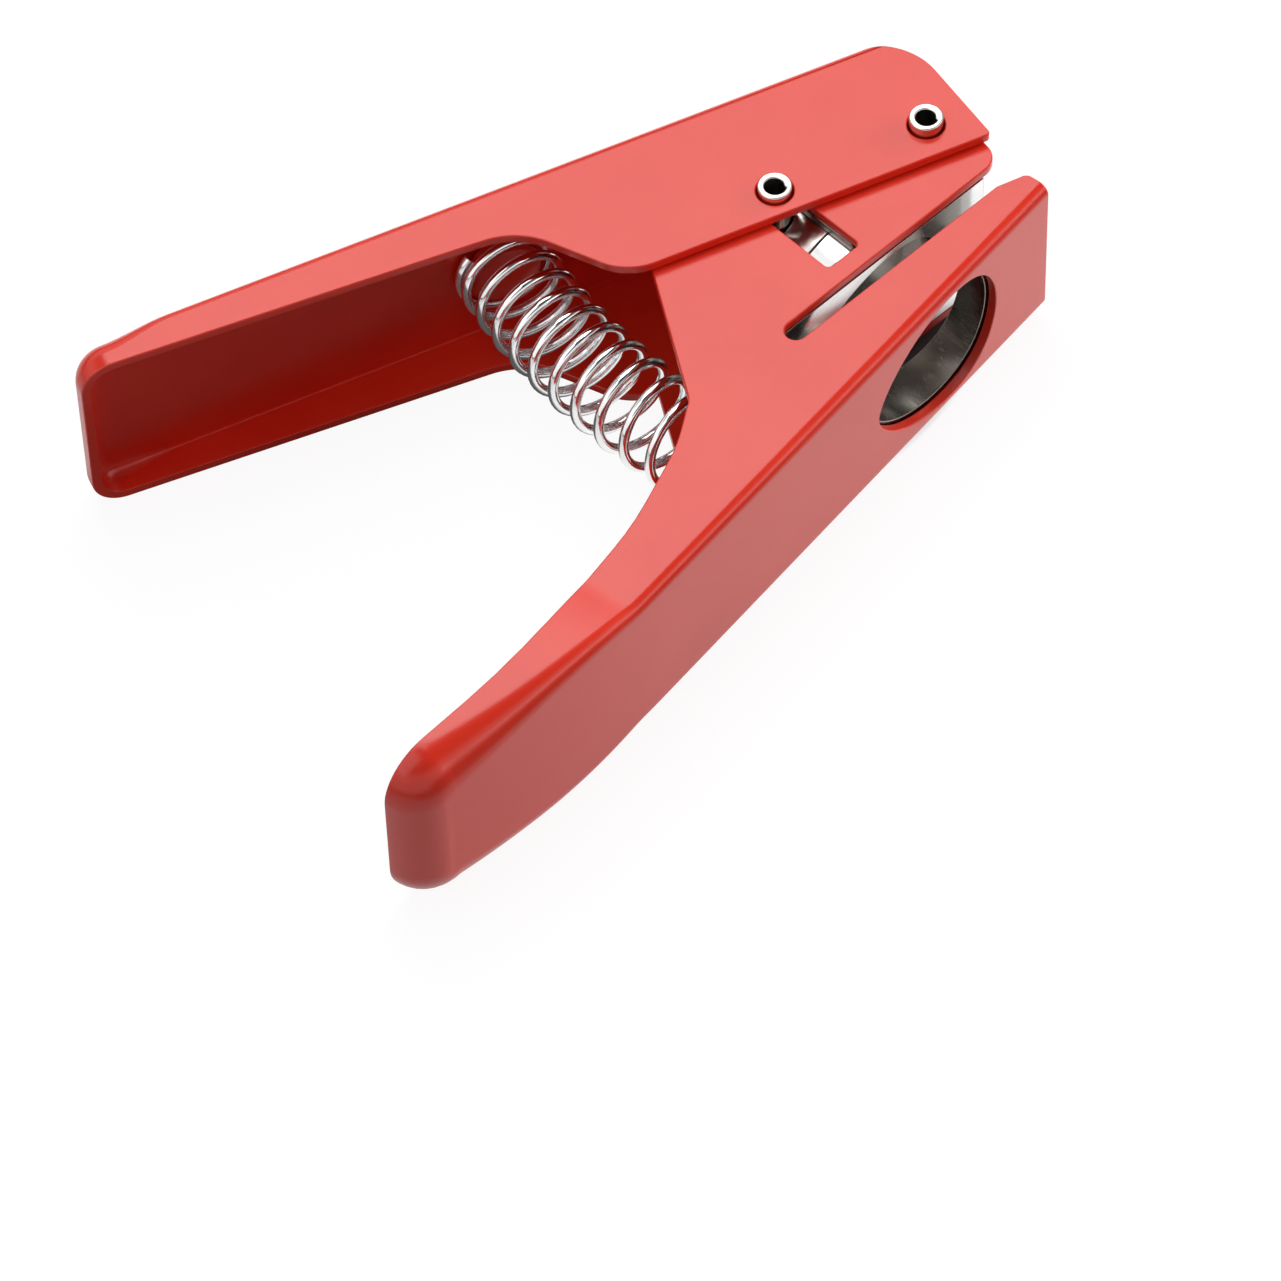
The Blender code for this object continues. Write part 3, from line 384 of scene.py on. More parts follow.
# Name, colour, range of roughness, fineness of the grain along x, y and z, and strength of its bump
metals = {
    "nickel": ("bright nickel", (0.76, 0.73, 0.68), (0.12, 0.22), (1200.0, 1200.0, 300.0), 0.15),
    # A darker copy of the nickel, painted shade for the die block and guide block inside the tool
    "shadedNickel": ("nickel darkened as painted shade", (0.30, 0.28, 0.25), (0.18, 0.30), (300.0, 300.0, 4000.0), 0.2),
    "ground": ("ground tool steel", (0.80, 0.80, 0.79), (0.09, 0.16), (300.0, 300.0, 9000.0), 0.12),
    "bright": ("bright spring wire", (0.95, 0.95, 0.95), (0.07, 0.14), (700.0, 700.0, 700.0), 0.10),
    "black": ("blackened steel", (0.045, 0.045, 0.05), (0.35, 0.5), (2500.0, 2500.0, 2500.0), 0.3),
}

metalFinish = {
    "cloud": 120.0,
    "shade": 0.86,               # darker clouds over the colour
    "grainDetail": (4.0, 0.6),
    "scratchDepth": 0.01 * mm,
}


def plate(name, colour, rough, lines, scratch):
    made, tree, shader, place = startMaterial(name)
    stretched = addNode(tree, "ShaderNodeMapping", {"Vector": place, "Scale": lines}).outputs["Vector"]
    grain = noise(tree, stretched, 1.0, *metalFinish["grainDetail"])
    cloud = noise(tree, place, metalFinish["cloud"], 3.0)
    dark = tuple(metalFinish["shade"] * c for c in colour) + (1,)
    tree.links.new(mixColour(tree, spread(tree, cloud, 0, 1), dark, (*colour, 1)),
                   shader.inputs["Base Color"])
    tree.links.new(spread(tree, grain, *rough), shader.inputs["Roughness"])
    tree.links.new(bump(tree, grain, scratch, metalFinish["scratchDepth"]), shader.inputs["Normal"])
    shader.inputs["Metallic"].default_value = 1.0
    return made


red = powderCoat()
nickel, shadedNickel, ground, bright, black = [plate(*metal) for metal in metals.values()]
print("materials made")


# Channels folded from sheet, each half a row of stations from the front round to the middle of the tail
folds = {
    "bendSteps": 9,
    "bendStart": radians(5.0),   # below it a bend is left straight
    "cornerSteps": 14,
}


def channelStations(length, front, halfWidth, webHeight, bendRadius, corner, steps, breaks):
    stations = []

    def add(x, z, inX, inZ):
        radius = bendRadius(x)
        stations.append((x, z, inX, inZ, radius, webHeight(x + inX * radius)))

    for x in [front, *breaks]:
        add(x, halfWidth(x), 0, -1)
    side = halfWidth(-length)
    for k in range(steps + 1):
        a = pi / 2 * k / steps
        add(-length + corner * (1 - sin(a)), side - corner * (1 - cos(a)), sin(a), -cos(a))
    add(-length, 0, 1, 0)
    return stations


def foldedChannel(name, stations, height):
    bm = bmesh.new()
    rows = []
    for x, z, inX, inZ, radius, web in stations:
        row = [bm.verts.new((x, height, z))]
        for k in range(folds["bendSteps"] + 1):
            a = folds["bendStart"] + (pi / 2 - folds["bendStart"]) * k / folds["bendSteps"]
            inset = radius * (1 - cos(a))
            row.append(bm.verts.new((x + inX * inset, web + radius * (1 - sin(a)), z + inZ * inset)))
        row.append(bm.verts.new((x + inX * radius, web, 0)))
        rows.append(row)
    for first, second in zip(rows, rows[1:]):
        for k in range(len(first) - 1):
            bm.faces.new((first[k], second[k], second[k + 1], first[k + 1]))
    bmesh.ops.remove_doubles(bm, verts=bm.verts, dist=tool["weld"])
    bmesh.ops.dissolve_degenerate(bm, edges=bm.edges, dist=tool["weld"])
    bmesh.ops.recalc_face_normals(bm, faces=bm.faces)
    wall = max(bm.faces, key=lambda face: face.calc_center_median().z)
    if wall.normal.z < 0:
        bmesh.ops.reverse_faces(bm, faces=bm.faces)
    piece = fromBmesh(name, bm, False)
    mirror = piece.modifiers.new("other half", "MIRROR")
    mirror.use_axis = (False, False, True)
    mirror.merge_threshold = tool["weld"]
    shell = piece.modifiers.new("sheet", "SOLIDIFY")
    shell.thickness = tool["sheet"]
    shell.offset = -1
    shell.use_even_offset = True
    return bake(piece)


# Base
base = {
    "jaw": 53.7 * mm,
    "grip": 106.5 * mm,
    "noseHeight": 4.6 * mm,
    "lip": 5.2 * mm,
    "lipRound": 1.5 * mm,
    "upperLip": 0.1 * mm,        # behind the nose corner
    "upperLipRound": 3.8 * mm,
    "faceRound": 6.0 * mm,
    "shoulderRound": 0.8 * mm,
    "tailCorner": 9.0 * mm,
    "tailFillet": 7.5 * mm,
    "rise": 333.0 * mm,          # radius of the web's curve towards the tail
    "faceShares": ((0.135, 0.72), (0.048, 0.925)),     # x and y, as shares of the jaw's height
    # x as a share of the grip, y and radius as shares of the jaw's height
    "rearShares": ((0.165, 0.480, 0.10), (0.247, 0.376, 0.75), (0.407, 0.272, 1.5),
                   (0.725, 0.2125, 3.0), (1.05, 0.287, 0.0)),
    "riseShare": 0.4725,
    "flareShares": (0.529, 0.755),
    "crease": 1.6 * mm,          # length of the bend where the flare starts
    "holeMargin": 0.8 * mm,
    "edge": 0.28 * mm,           # rounding of the sheet's cut edges
    "riseSteps": 22,
    "straightSteps": 4,
    "windowSpare": 1.4 * mm,     # under the drive pin at its lowest
    "windowRound": 1.0 * mm,
}

baseWidth = tool["width"] - 2 * (tool["sheet"] + tool["sideGap"])
baseLength = base["jaw"] + base["grip"]
riseStart = -base["jaw"] - base["riseShare"] * base["grip"]
flareStart, flareEnd = [-base["jaw"] - share * base["grip"] for share in base["flareShares"]]
windowLow = pinLowV - pinRadius - base["windowSpare"]
windowHigh = pinUV.y + pinRadius + linkage["play"]
closedWeb = pivot.y + (linkage["rise"] - tool["sheet"]) / cos(linkage["closedAngle"])
jawReach = base["jaw"] - linkage["pivotSetback"]
jawHeight = closedWeb + jawReach * tan(linkage["closedAngle"]) - linkage["stopGap"]


def baseHalfWidth(x):
    straight = 1 - min(max((x - flareStart) / (flareEnd - flareStart), 0.0), 1.0)
    return tool["width"] / 2 - (tool["width"] - baseWidth) / 2 * straight ** 2


def baseWebHeight(x):
    back = max(0.0, riseStart - x)
    return base["rise"] - sqrt(base["rise"] ** 2 - back ** 2)


def baseBend(x):
    t = (x - riseStart) / (base["tailCorner"] - baseLength - riseStart)
    return tool["bend"] + (base["tailFillet"] - tool["bend"]) * min(max(t, 0.0), 1.0) ** 2


def baseOutline():
    lip, upperLip = -base["lip"], -base["upperLip"]
    corners = [(0, -tool["overrun"], 0), (0, base["noseHeight"], base["lipRound"]),
               (lip, throatHeight(lip, throat["floor"]), base["lipRound"]),
               (*alongThroat(-throat["depth"], throat["floor"]), throat["gap"] / 2),
               (*alongThroat(-throat["depth"], ceiling), throat["gap"] / 2),
               (upperLip, throatHeight(upperLip, ceiling), base["upperLipRound"])]
    for x, y in base["faceShares"]:
        corners.append((x * jawHeight, y * jawHeight, base["faceRound"]))
    corners.append((-base["jaw"], jawHeight, base["shoulderRound"]))
    for x, y, radius in base["rearShares"]:
        corners.append((-base["jaw"] - x * base["grip"], y * jawHeight, radius * jawHeight))
    corners.append((corners[-1][0], -tool["overrun"], 0))
    return rounded(corners)


def slotOutline(low, high):
    corners = [(-slotHalf, low), (slotHalf, low), (slotHalf, high), (-slotHalf, high)]
    return rounded([(*alongThroat(slotU + u, v), base["windowRound"]) for u, v in corners])


def pinHole(centre):
    return across("pin hole", circle(centre, pinRadius + tool["fit"]))


def makeBase():
    curveEnd = base["tailCorner"] - baseLength
    folded, flared = flareStart + base["crease"] / 2, flareStart - base["crease"] / 2
    straight = base["straightSteps"]
    breaks = [riseStart + (folded - riseStart) * k / straight for k in range(straight + 1)]
    breaks += [flared + (curveEnd - flared) * k / base["riseSteps"] for k in range(base["riseSteps"])]
    stations = channelStations(baseLength, jawHeight, baseHalfWidth, baseWebHeight, baseBend,
                               base["tailCorner"], folds["cornerSteps"], [-base["jaw"], *breaks])
    piece = foldedChannel("base_channel", stations, jawHeight + tool["overrun"])
    piece.data.transform(Matrix.Translation((0, 0, middle)))
    carve(piece, [across("outline", baseOutline())], "INTERSECT")
    hole = alongStroke("web hole", pickOutline(base["holeMargin"]), -pick["setback"], throat["floor"])
    carve(piece, [across("window", slotOutline(windowLow, windowHigh)), pinHole(pivot), hole])
    soften(piece, base["edge"], merge=tool["merge"])
    return settle(piece, red, "frame", ["frame"])


makeBase()


# Handle
lever = {
    "drop": 6.6 * mm,
    "nose": 5.3 * mm,            # front edge at the web
    "foot": 8.88 * mm,           # lower front corner
    "reach": 147.28 * mm,
    "crown": 12.0 * mm,
    "footRound": 0.8 * mm,
    "neckShare": 0.394,
    "neckRound": 10.0 * mm,
    "waistShare": 0.478,
    "waistDepth": 10.45 * mm,
    "waistRound": 13.0 * mm,
    "tailDepth": 6.1 * mm,
    "tailCorner": 6.0 * mm,
    "tailFillet": 4.5 * mm,
    "filletStart": 3,
    "filletLength": 2,
    "filletSteps": 8,
    "edge": 0.28 * mm,
    "webSpare": 0.2 * mm,
}

leverPlace = (Matrix.Translation((*pivot, middle)) @ Matrix.Rotation(-linkage["restAngle"], 4, "Z")
              @ Matrix.Rotation(pi, 4, "X"))


def leverBend(x):
    t = (x + lever["reach"]) / lever["tailCorner"]
    opened = smoothShare((lever["filletStart"] - t) / lever["filletLength"])
    return tool["bend"] + (lever["tailFillet"] - tool["bend"]) * opened


def leverOutline():
    web = -linkage["rise"] - lever["webSpare"]
    tail = -lever["reach"] - tool["overrun"]
    return rounded([(lever["nose"], web, lever["crown"]), (lever["foot"], lever["drop"], lever["footRound"]),
                    (-lever["neckShare"] * lever["reach"], lever["drop"], lever["neckRound"]),
                    (-lever["waistShare"] * lever["reach"], lever["waistDepth"] - linkage["rise"],
                     lever["waistRound"]),
                    (tail, lever["tailDepth"] - linkage["rise"], 0), (tail, web, 0)])


def makeLever():
    steps = lever["filletSteps"]
    fillet = [lever["filletStart"] - lever["filletLength"] * k / steps for k in range(steps)]
    breaks = [-lever["neckShare"] * lever["reach"]]
    breaks += [share * lever["tailCorner"] - lever["reach"] for share in fillet]
    stations = channelStations(lever["reach"], lever["foot"] + tool["overrun"], lambda x: middle,
                               lambda x: -linkage["rise"], leverBend, lever["tailCorner"],
                               folds["cornerSteps"], breaks)
    piece = foldedChannel("lever_channel", stations, lever["drop"] + tool["overrun"])
    half = middle + tool["overrun"]
    arm = linkage["arm"] * Vector((-cos(linkage["lean"]), sin(linkage["lean"])))
    carve(piece, [prism("outline", leverOutline(), -half, half)], "INTERSECT")
    carve(piece, [prism("hole", circle(centre, pinRadius + tool["fit"]), -half, half)
                  for centre in ((0, 0), arm)])
    soften(piece, lever["edge"], merge=tool["merge"])
    piece.data.transform(leverPlace)
    return settle(piece, red, "handle", ["handle"])


makeLever()
print("channels made")


# Spring pins coiled from strip
pins = {
    "bore": 3.5 * mm,
    "strip": 0.45 * mm,          # its inner end leaves a step in the bore
    "inset": 0.2 * mm,
    "pivotProud": 2.0 * mm,
    "driveProud": 1.3 * mm,
    "pivotTurn": radians(-67.0),
    "driveTurn": radians(-55.0),
    "sides": 64,
    "edge": 0.34 * mm,
}


def makePin(name, centre, proud, stripTurn, body, node):
    piece = prism(name, circle((0, 0), pinRadius, pins["sides"]), pins["inset"], tool["width"] + proud)
    spiral = []
    for k in range(pins["sides"] + 1):
        share = k / pins["sides"]
        radius = (pins["bore"] - pins["strip"]) / 2 + pins["strip"] * share
        spiral.append((radius * cos(2 * pi * share), radius * sin(2 * pi * share)))
    carve(piece, [prism("bore", spiral, -tool["overrun"], tool["width"] + proud + tool["overrun"])])
    soften(piece, pins["edge"], 4)
    piece.data.transform(Matrix.Translation((*centre, 0)) @ Matrix.Rotation(stripTurn, 4, "Z"))
    return settle(piece, nickel, body, [node])


makePin("hinge_pin", pivot, pins["pivotProud"], pins["pivotTurn"], "frame", "pivot_pin")
makePin("punch_pin", drivePin, pins["driveProud"], pins["driveTurn"], "handle", "drive_pin")
print("pins made")


# Die set
dieSet = {
    "lift": 2.6 * mm,
    "punchHeight": 8.3 * mm,
    "crown": 1.6 * mm,
    "inset": 1.0 * mm,
    "guide": 20.8 * mm,
    "heel": 4.5 * mm,
    "spacer": 5.8 * mm,
    "recess": 0.5 * mm,
    "cover": 1.3 * mm,
    "edge": 0.2 * mm,
    "fineEdge": 0.06 * mm,
    "lowerEdge": 0.3 * mm,
}

screws = {
    "diameter": 3.0 * mm,
    "head": 5.5 * mm,
    "headHeight": 3.0 * mm,
    "socket": 2.9 * mm,
    "dieSpread": 17.0 * mm,
    "punchSpread": 12.0 * mm,
    "punchGrip": 5.5 * mm,
    "flatSpread": 9.0 * mm,
    "flatDiameter": 2.5 * mm,
    "flatHead": 4.7 * mm,
    "flatSocket": 1.7 * mm,
    "flatLength": 6.5 * mm,
    "dowel": 3.0 * mm,
    "dowelLength": 14.0 * mm,
    "dowelSpread": 7.0 * mm,
    "chamfer": 0.3 * mm,
    "sides": 32,
    "socketSides": 6,
}

dieWidth = baseWidth - 2 * (tool["sheet"] + tool["fit"])
dieBack = throat["depth"] + tool["fit"] + dieSet["spacer"]
dieBottom = tool["sheet"] + tool["fit"]
guideTop = guideLow + dieSet["guide"]
heelTop = guideLow + dieSet["heel"]
punchLow = ceiling + dieSet["lift"]
carrierLow = punchLow + dieSet["punchHeight"] + tool["fit"]
carrierTop = pinUV.y + pinRadius + tool["fit"] + dieSet["crown"]
fastenerU = -dieBack + dieSet["spacer"] / 2
punchScrewU = (slotU + slotHalf - pick["setback"]) / 2
flatScrewU = pivotUV.x - pinRadius
dieBottomV = (dieBottom + sin(throat["tilt"]) * fastenerU) / cos(throat["tilt"])
dieHeadReach = (screws["head"] / 2 + tool["fit"]) * tan(throat["tilt"])
dieScrewSeat = dieBottomV + dieHeadReach + dieSet["recess"] + screws["headHeight"]


def pair(width):
    return (-width / 2, width / 2)


def roundHole(u, side, low, high, diameter):
    return alongStroke("hole", circle((u, side), diameter / 2 + tool["fit"], screws["sides"]), low, high)


def fastenerHoles(low, high):
    places = [(side, screws["diameter"]) for side in pair(screws["dieSpread"])]
    places += [(side, screws["dowel"]) for side in pair(screws["dowelSpread"])]
    return [roundHole(fastenerU, side, low, high, diameter) for side, diameter in places]


def flatScrewHoles():
    head = screws["flatHead"] / 2 + tool["fit"]
    shank = screws["flatDiameter"] / 2 + tool["fit"]
    end = -screws["flatLength"] - tool["fit"]
    profile = [(0, tool["overrun"]), (head, tool["overrun"]), (head, -tool["fit"]),
               (shank, shank - head - tool["fit"]), (shank, end), (0, end)]
    holes = []
    for side in pair(screws["flatSpread"]):
        hole = turned("sink", profile, screws["sides"])
        hole.data.transform(standAt(flatScrewU, side, ceiling + dieSet["recess"] / 2, True))
        holes.append(hole)
    return holes


def makeDiePlate():
    lip = -base["lip"] - dieSet["inset"] / 2
    outline = rounded([(-dieSet["inset"], dieBottom, 0),
                       (-dieSet["inset"], base["noseHeight"] - dieSet["inset"] / 2, base["lipRound"]),
                       (lip, throatHeight(lip, throat["floor"]), base["lipRound"]),
                       (*alongThroat(-dieBack, throat["floor"]), 0),
                       (alongThroat(-dieBack, 0).x, dieBottom, 0)])
    piece = across("die_block", outline, dieWidth)
    low, high = dieBottomV - tool["overrun"], throat["floor"] + tool["overrun"]
    leg = max(dieSet["lowerEdge"], (2 - sqrt(2)) * (tool["bend"] - tool["sheet"] - tool["fit"]))
    cutters = [alongStroke("aperture", pickOutline(tool["fit"]), -pick["setback"], high),
               *fastenerHoles(low, high)]
    for side in pair(screws["dieSpread"]):
        cutters.append(roundHole(fastenerU, side, low, dieScrewSeat + tool["fit"], screws["head"]))
    for s in (-1, 1):
        outer, inner = dieWidth / 2 + tool["overrun"], dieWidth / 2 - leg - tool["overrun"]
        wedge = prism("edge", [(s * outer, dieBottom - tool["overrun"]),
                               (s * outer, dieBottom + leg + tool["overrun"]),
                               (s * inner, dieBottom - tool["overrun"])],
                      -dieBack - tool["overrun"], tool["overrun"])
        wedge.data.transform(Matrix.Translation((0, 0, middle)) @ Matrix.Rotation(pi / 2, 4, "Y"))
        cutters.append(wedge)
    carve(piece, cutters)
    soften(piece, dieSet["edge"])
    return settle(piece, shadedNickel, "frame", ["die_plate"])


def makeSpacer():
    low, high = throat["floor"] + tool["fit"], ceiling - tool["fit"]
    front = -dieBack + dieSet["spacer"]
    corners = [(front, low), (front, high), (-dieBack, high), (-dieBack, low)]
    piece = across("throat_block", [alongThroat(u, v) for u, v in corners], dieWidth)
    carve(piece, fastenerHoles(low - tool["overrun"], high + tool["overrun"]))
    soften(piece, dieSet["edge"])
    return settle(piece, ground, "frame", ["throat_spacer"])


def makeStripperPlate():
    lip = -base["upperLip"] - base["upperLipRound"]
    front = Vector((lip, throatHeight(lip, ceiling)))
    top = ceiling + throat["stripper"]
    outline = [front, alongThroat(toThroat(front).x, top), alongThroat(-dieBack, top),
               alongThroat(-dieBack, ceiling)]
    piece = across("stripper", outline, dieWidth)
    low = ceiling - tool["overrun"]
    carve(piece, [alongStroke("bore", pickOutline(tool["fit"]), low, top + tool["overrun"]),
                  *fastenerHoles(low, top + tool["overrun"]), *flatScrewHoles()])
    soften(piece, dieSet["fineEdge"])
    return settle(piece, ground, "frame", ["stripper_plate"])


def makeGuideBlock():
    heelFront = base["lipRound"] - throat["depth"]
    lip = Vector((-base["upperLip"] - dieSet["inset"], throatHeight(-base["upperLip"], ceiling)))
    x, y = base["faceShares"][0]
    forehead = Vector((x * jawHeight - dieSet["inset"], y * jawHeight))
    foot = lip.lerp(forehead, (guideLow - toThroat(lip).y) / (toThroat(forehead).y - toThroat(lip).y))
    crown = alongThroat(toThroat(forehead).x, guideTop)
    outline = rounded([(*foot, base["lipRound"]), (*crown, base["faceRound"]),
                       (*alongThroat(heelFront, guideTop), 0),
                       (*alongThroat(heelFront, heelTop), 0), (*alongThroat(-dieBack, heelTop), 0),
                       (*alongThroat(-dieBack, guideLow), 0)])
    piece = across("guide", outline, dieWidth)
    low, high = guideLow - tool["overrun"], guideTop + tool["overrun"]
    carve(piece, [alongStroke("bore", pickOutline(tool["fit"]), low, high), pinHole(pivot),
                  across("pin slot", slotOutline(slotLow, high)),
                  *fastenerHoles(low, heelTop - dieSet["cover"] + tool["fit"]), *flatScrewHoles()])
    soften(piece, dieSet["edge"], merge=tool["merge"])
    return settle(piece, shadedNickel, "frame", ["guide_block"])


def makePunch():
    high = punchLow + dieSet["punchHeight"]
    piece = alongStroke("pick_cutter", pickOutline(), punchLow, high)
    low = high - screws["punchGrip"] - tool["fit"]
    carve(piece, [roundHole(punchScrewU, side, low, high + tool["overrun"], screws["diameter"])
                  for side in pair(screws["punchSpread"])])
    soften(piece, dieSet["fineEdge"])
    return settle(piece, ground, "punch", ["punch"])


def makeCarrier():
    piece = alongStroke("crosshead", pickOutline(), carrierLow, carrierTop)
    half = pinRadius + tool["fit"]
    long = half + pinDrift / 2
    corners = [(-long, -half), (long, -half), (long, half), (-long, half)]
    slot = rounded([(*alongThroat(slotU + u, pinUV.y + v), half) for u, v in corners])
    seat = carrierTop - dieSet["recess"] - screws["headHeight"]
    cutters = [across("slot", slot)]
    for side in pair(screws["punchSpread"]):
        for low, high, diameter in ((carrierLow - tool["overrun"], carrierTop, screws["diameter"]),
                                    (seat - tool["fit"], carrierTop + tool["overrun"], screws["head"])):
            cutters.append(roundHole(punchScrewU, side, low, high, diameter))
    carve(piece, cutters)
    soften(piece, dieSet["edge"], merge=tool["merge"])
    return settle(piece, nickel, "punch", ["punch_carrier"])


makeDiePlate()
makeSpacer()
makeStripperPlate()
makeGuideBlock()
makePunch()
makeCarrier()
print("die set made")


# Return spring: a tree of nodes bends the wire round its coils
spring = {
    "wire": 1.8 * mm,
    "diameter": 17.9 * mm,
    "clearance": 2.3 * mm,
    "lean": 4.5 * mm,
    "coils": 14.12,
    "closedPitch": 2.2 * mm,
    "growth": 0.15,
    "pointsPerCoil": 44,
    "wireSides": 16,
    "seatGap": 0.7 * mm,
    "seatHeight": 3.0 * mm,
    "seatChamfer": 0.6 * mm,
    "seatEdge": 0.15 * mm,
    "seatSides": 96,
}

coilRadius = (spring["diameter"] - spring["wire"]) / 2
springSetback = -alongThroat(-dieBack, 0).x + spring["clearance"] + spring["diameter"] / 2
springRise = linkage["rise"] - tool["sheet"] + cos(linkage["restAngle"]) * (pivot.y - tool["sheet"])
springCentre = Vector((pivot.x + springRise / sin(linkage["restAngle"]), tool["sheet"]))


def springTree():
    tree = bpy.data.node_groups.new("coil spring", "GeometryNodeTree")
    face = tree.interface
    face.new_socket("Geometry", in_out="OUTPUT", socket_type="NodeSocketGeometry")
    for name in springInputs:
        face.new_socket(name, in_out="INPUT", socket_type="NodeSocketFloat")
    given = addNode(tree, "NodeGroupInput").outputs
    math = partial(mathNode, tree)
    coils = given["Coils"]
    steps = math("ROUND", math("MULTIPLY", coils, given["Points per coil"]))
    line = addNode(tree, "GeometryNodeCurvePrimitiveLine").outputs[0]
    count = math("ADD", steps, 1.0)
    points = addNode(tree, "GeometryNodeResampleCurve", {"Curve": line, "Count": count}).outputs[0]
    index = addNode(tree, "GeometryNodeInputIndex").outputs[0]
    coil = math("DIVIDE", math("MULTIPLY", index, coils), steps)
    opened = math("DIVIDE", math("SUBTRACT", coil, 1.0), math("SUBTRACT", coils, 2.0))
    opened = math("MINIMUM", math("MAXIMUM", opened, 0.0), 1.0)
    grown = math("ADD", 1.0, math("MULTIPLY", given["Growth"], math("SUBTRACT", 1.0, opened)))
    closed = math("ADD", math("MINIMUM", coil, 1.0),
                  math("MAXIMUM", math("ADD", math("SUBTRACT", coil, coils), 1.0), 0.0))
    turn = math("ADD", math("ADD", given["Start"], math("MULTIPLY", given["Closed pitch"], closed)),
                math("MULTIPLY", math("MULTIPLY", given["Spread"], opened), grown))
    share = math("DIVIDE", turn, given["Whole turn"])
    ease = math("MULTIPLY", math("MULTIPLY", share, share),
                math("SUBTRACT", 3.0, math("MULTIPLY", 2.0, share)))
    around = math("MULTIPLY", coil, 2 * pi)
    reach = math("ADD", math("ADD", given["Bend radius"], math("MULTIPLY", given["Lean"], ease)),
                 math("MULTIPLY", given["Coil radius"], math("COSINE", around)))
    x = math("SUBTRACT", given["Centre X"], math("MULTIPLY", reach, math("COSINE", turn)))
    y = math("ADD", given["Centre Y"], math("MULTIPLY", reach, math("SINE", turn)))
    z = math("ADD", given["Centre Z"], math("MULTIPLY", given["Coil radius"], math("SINE", around)))
    spot = addNode(tree, "ShaderNodeCombineXYZ", {"X": x, "Y": y, "Z": z}).outputs[0]
    bent = addNode(tree, "GeometryNodeSetPosition", {"Geometry": points, "Position": spot}).outputs[0]
    radius = math("DIVIDE", given["Wire"], 2.0)
    ring = addNode(tree, "GeometryNodeCurvePrimitiveCircle",
                   {"Resolution": spring["wireSides"], "Radius": radius}).outputs[0]
    tube = addNode(tree, "GeometryNodeCurveToMesh", {"Curve": bent, "Profile Curve": ring, "Fill Caps": True})
    real = addNode(tree, "GeometryNodeRealizeInstances", {"Geometry": tube.outputs[0]}).outputs[0]
    dressed = addNode(tree, "GeometryNodeSetMaterial", {"Geometry": real, "Material": bright}).outputs[0]
    tree.links.new(dressed, addNode(tree, "NodeGroupOutput").inputs[0])
    return tree


lift = tool["fit"] + spring["wire"] / 2
bendRadius = springCentre.x + springSetback
startTurn, endTurn = lift / bendRadius, linkage["restAngle"] - lift / bendRadius
closedTurn = spring["closedPitch"] / bendRadius
springInputs = {
    "Coils": spring["coils"],
    "Points per coil": spring["pointsPerCoil"],
    "Growth": spring["growth"],
    "Start": startTurn,
    "Closed pitch": closedTurn,
    "Spread": endTurn - startTurn - 2 * closedTurn,
    "Whole turn": linkage["restAngle"],
    "Bend radius": bendRadius,
    "Lean": spring["lean"],
    "Coil radius": coilRadius,
    "Centre X": springCentre.x,
    "Centre Y": springCentre.y,
    "Centre Z": middle,
    "Wire": spring["wire"],
}


def growFrom(name, tree, values):
    piece = newPiece(name, bpy.data.meshes.new(name))
    modifier = piece.modifiers.new("grow", "NODES")
    modifier.node_group = tree
    for socket in tree.interface.items_tree:
        if socket.in_out == "INPUT":
            modifier[socket.identifier] = values[socket.name]
    return bake(piece)


def springLine(turn):
    outward = Vector((-cos(turn), sin(turn)))
    lean = spring["lean"] * smoothShare(turn / linkage["restAngle"])
    return springCentre + outward * (bendRadius + lean), outward


coilSpring = growFrom("coil_spring", springTree(), {key: float(value) for key, value in springInputs.items()})
settle(coilSpring, bright, "frame", ["return_spring"], False)
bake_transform(coilSpring)


def makeSeat(name, turn, up, body, node):
    radius, high = coilRadius - spring["wire"] / 2 - spring["seatGap"], spring["seatHeight"]
    profile = [(0, high), (radius - spring["seatChamfer"], high), (radius, high - spring["seatChamfer"]),
               (radius, 0), (0, 0)]
    piece = turned(name, profile, spring["seatSides"])
    side = up.cross(Vector((0, 0, 1)))
    axes = Matrix((side, up.cross(side), up)).transposed().to_4x4()
    place = springLine(turn)[0] + up.xy * tool["fit"]
    piece.data.transform(Matrix.Translation((*place, middle)) @ axes)
    soften(piece, spring["seatEdge"])
    return settle(piece, red, body, [node])


makeSeat("foot_seat", 0, Vector((0, 1, 0)), "frame", "lower_spring_seat")
leverDown = -Vector((sin(linkage["restAngle"]), cos(linkage["restAngle"]), 0))
makeSeat("head_seat", linkage["restAngle"], leverDown, "handle", "upper_spring_seat")
print("spring made")


# Screws and dowels
def capScrew(length):
    head, shank, chamfer = screws["head"] / 2, screws["diameter"] / 2, screws["chamfer"]
    high = screws["headHeight"]
    profile = [(0, high), (head - chamfer, high), (head, high - chamfer), (head, 0), (shank, 0),
               (shank, chamfer - length), (shank - chamfer, -length), (0, -length)]
    hexagon = circle((0, 0), screws["socket"] / 2, screws["socketSides"])
    return carve(turned("screw", profile, screws["sides"]),
                 [prism("socket", hexagon, high / 2, high + tool["overrun"])])


def flatScrew():
    head, shank = screws["flatHead"] / 2, screws["flatDiameter"] / 2
    length = screws["flatLength"]
    profile = [(0, 0), (head, 0), (shank, shank - head), (shank, -length), (0, -length)]
    hexagon = circle((0, 0), screws["flatSocket"] / 2, screws["socketSides"])
    return carve(turned("screw", profile, screws["sides"]),
                 [prism("socket", hexagon, shank - head, tool["overrun"])])


def dowel():
    radius, length, chamfer = screws["dowel"] / 2, screws["dowelLength"], screws["chamfer"]
    return turned("dowel", [(0, 0), (radius - chamfer, 0), (radius, -chamfer), (radius, chamfer - length),
                            (radius - chamfer, -length), (0, -length)], screws["sides"])


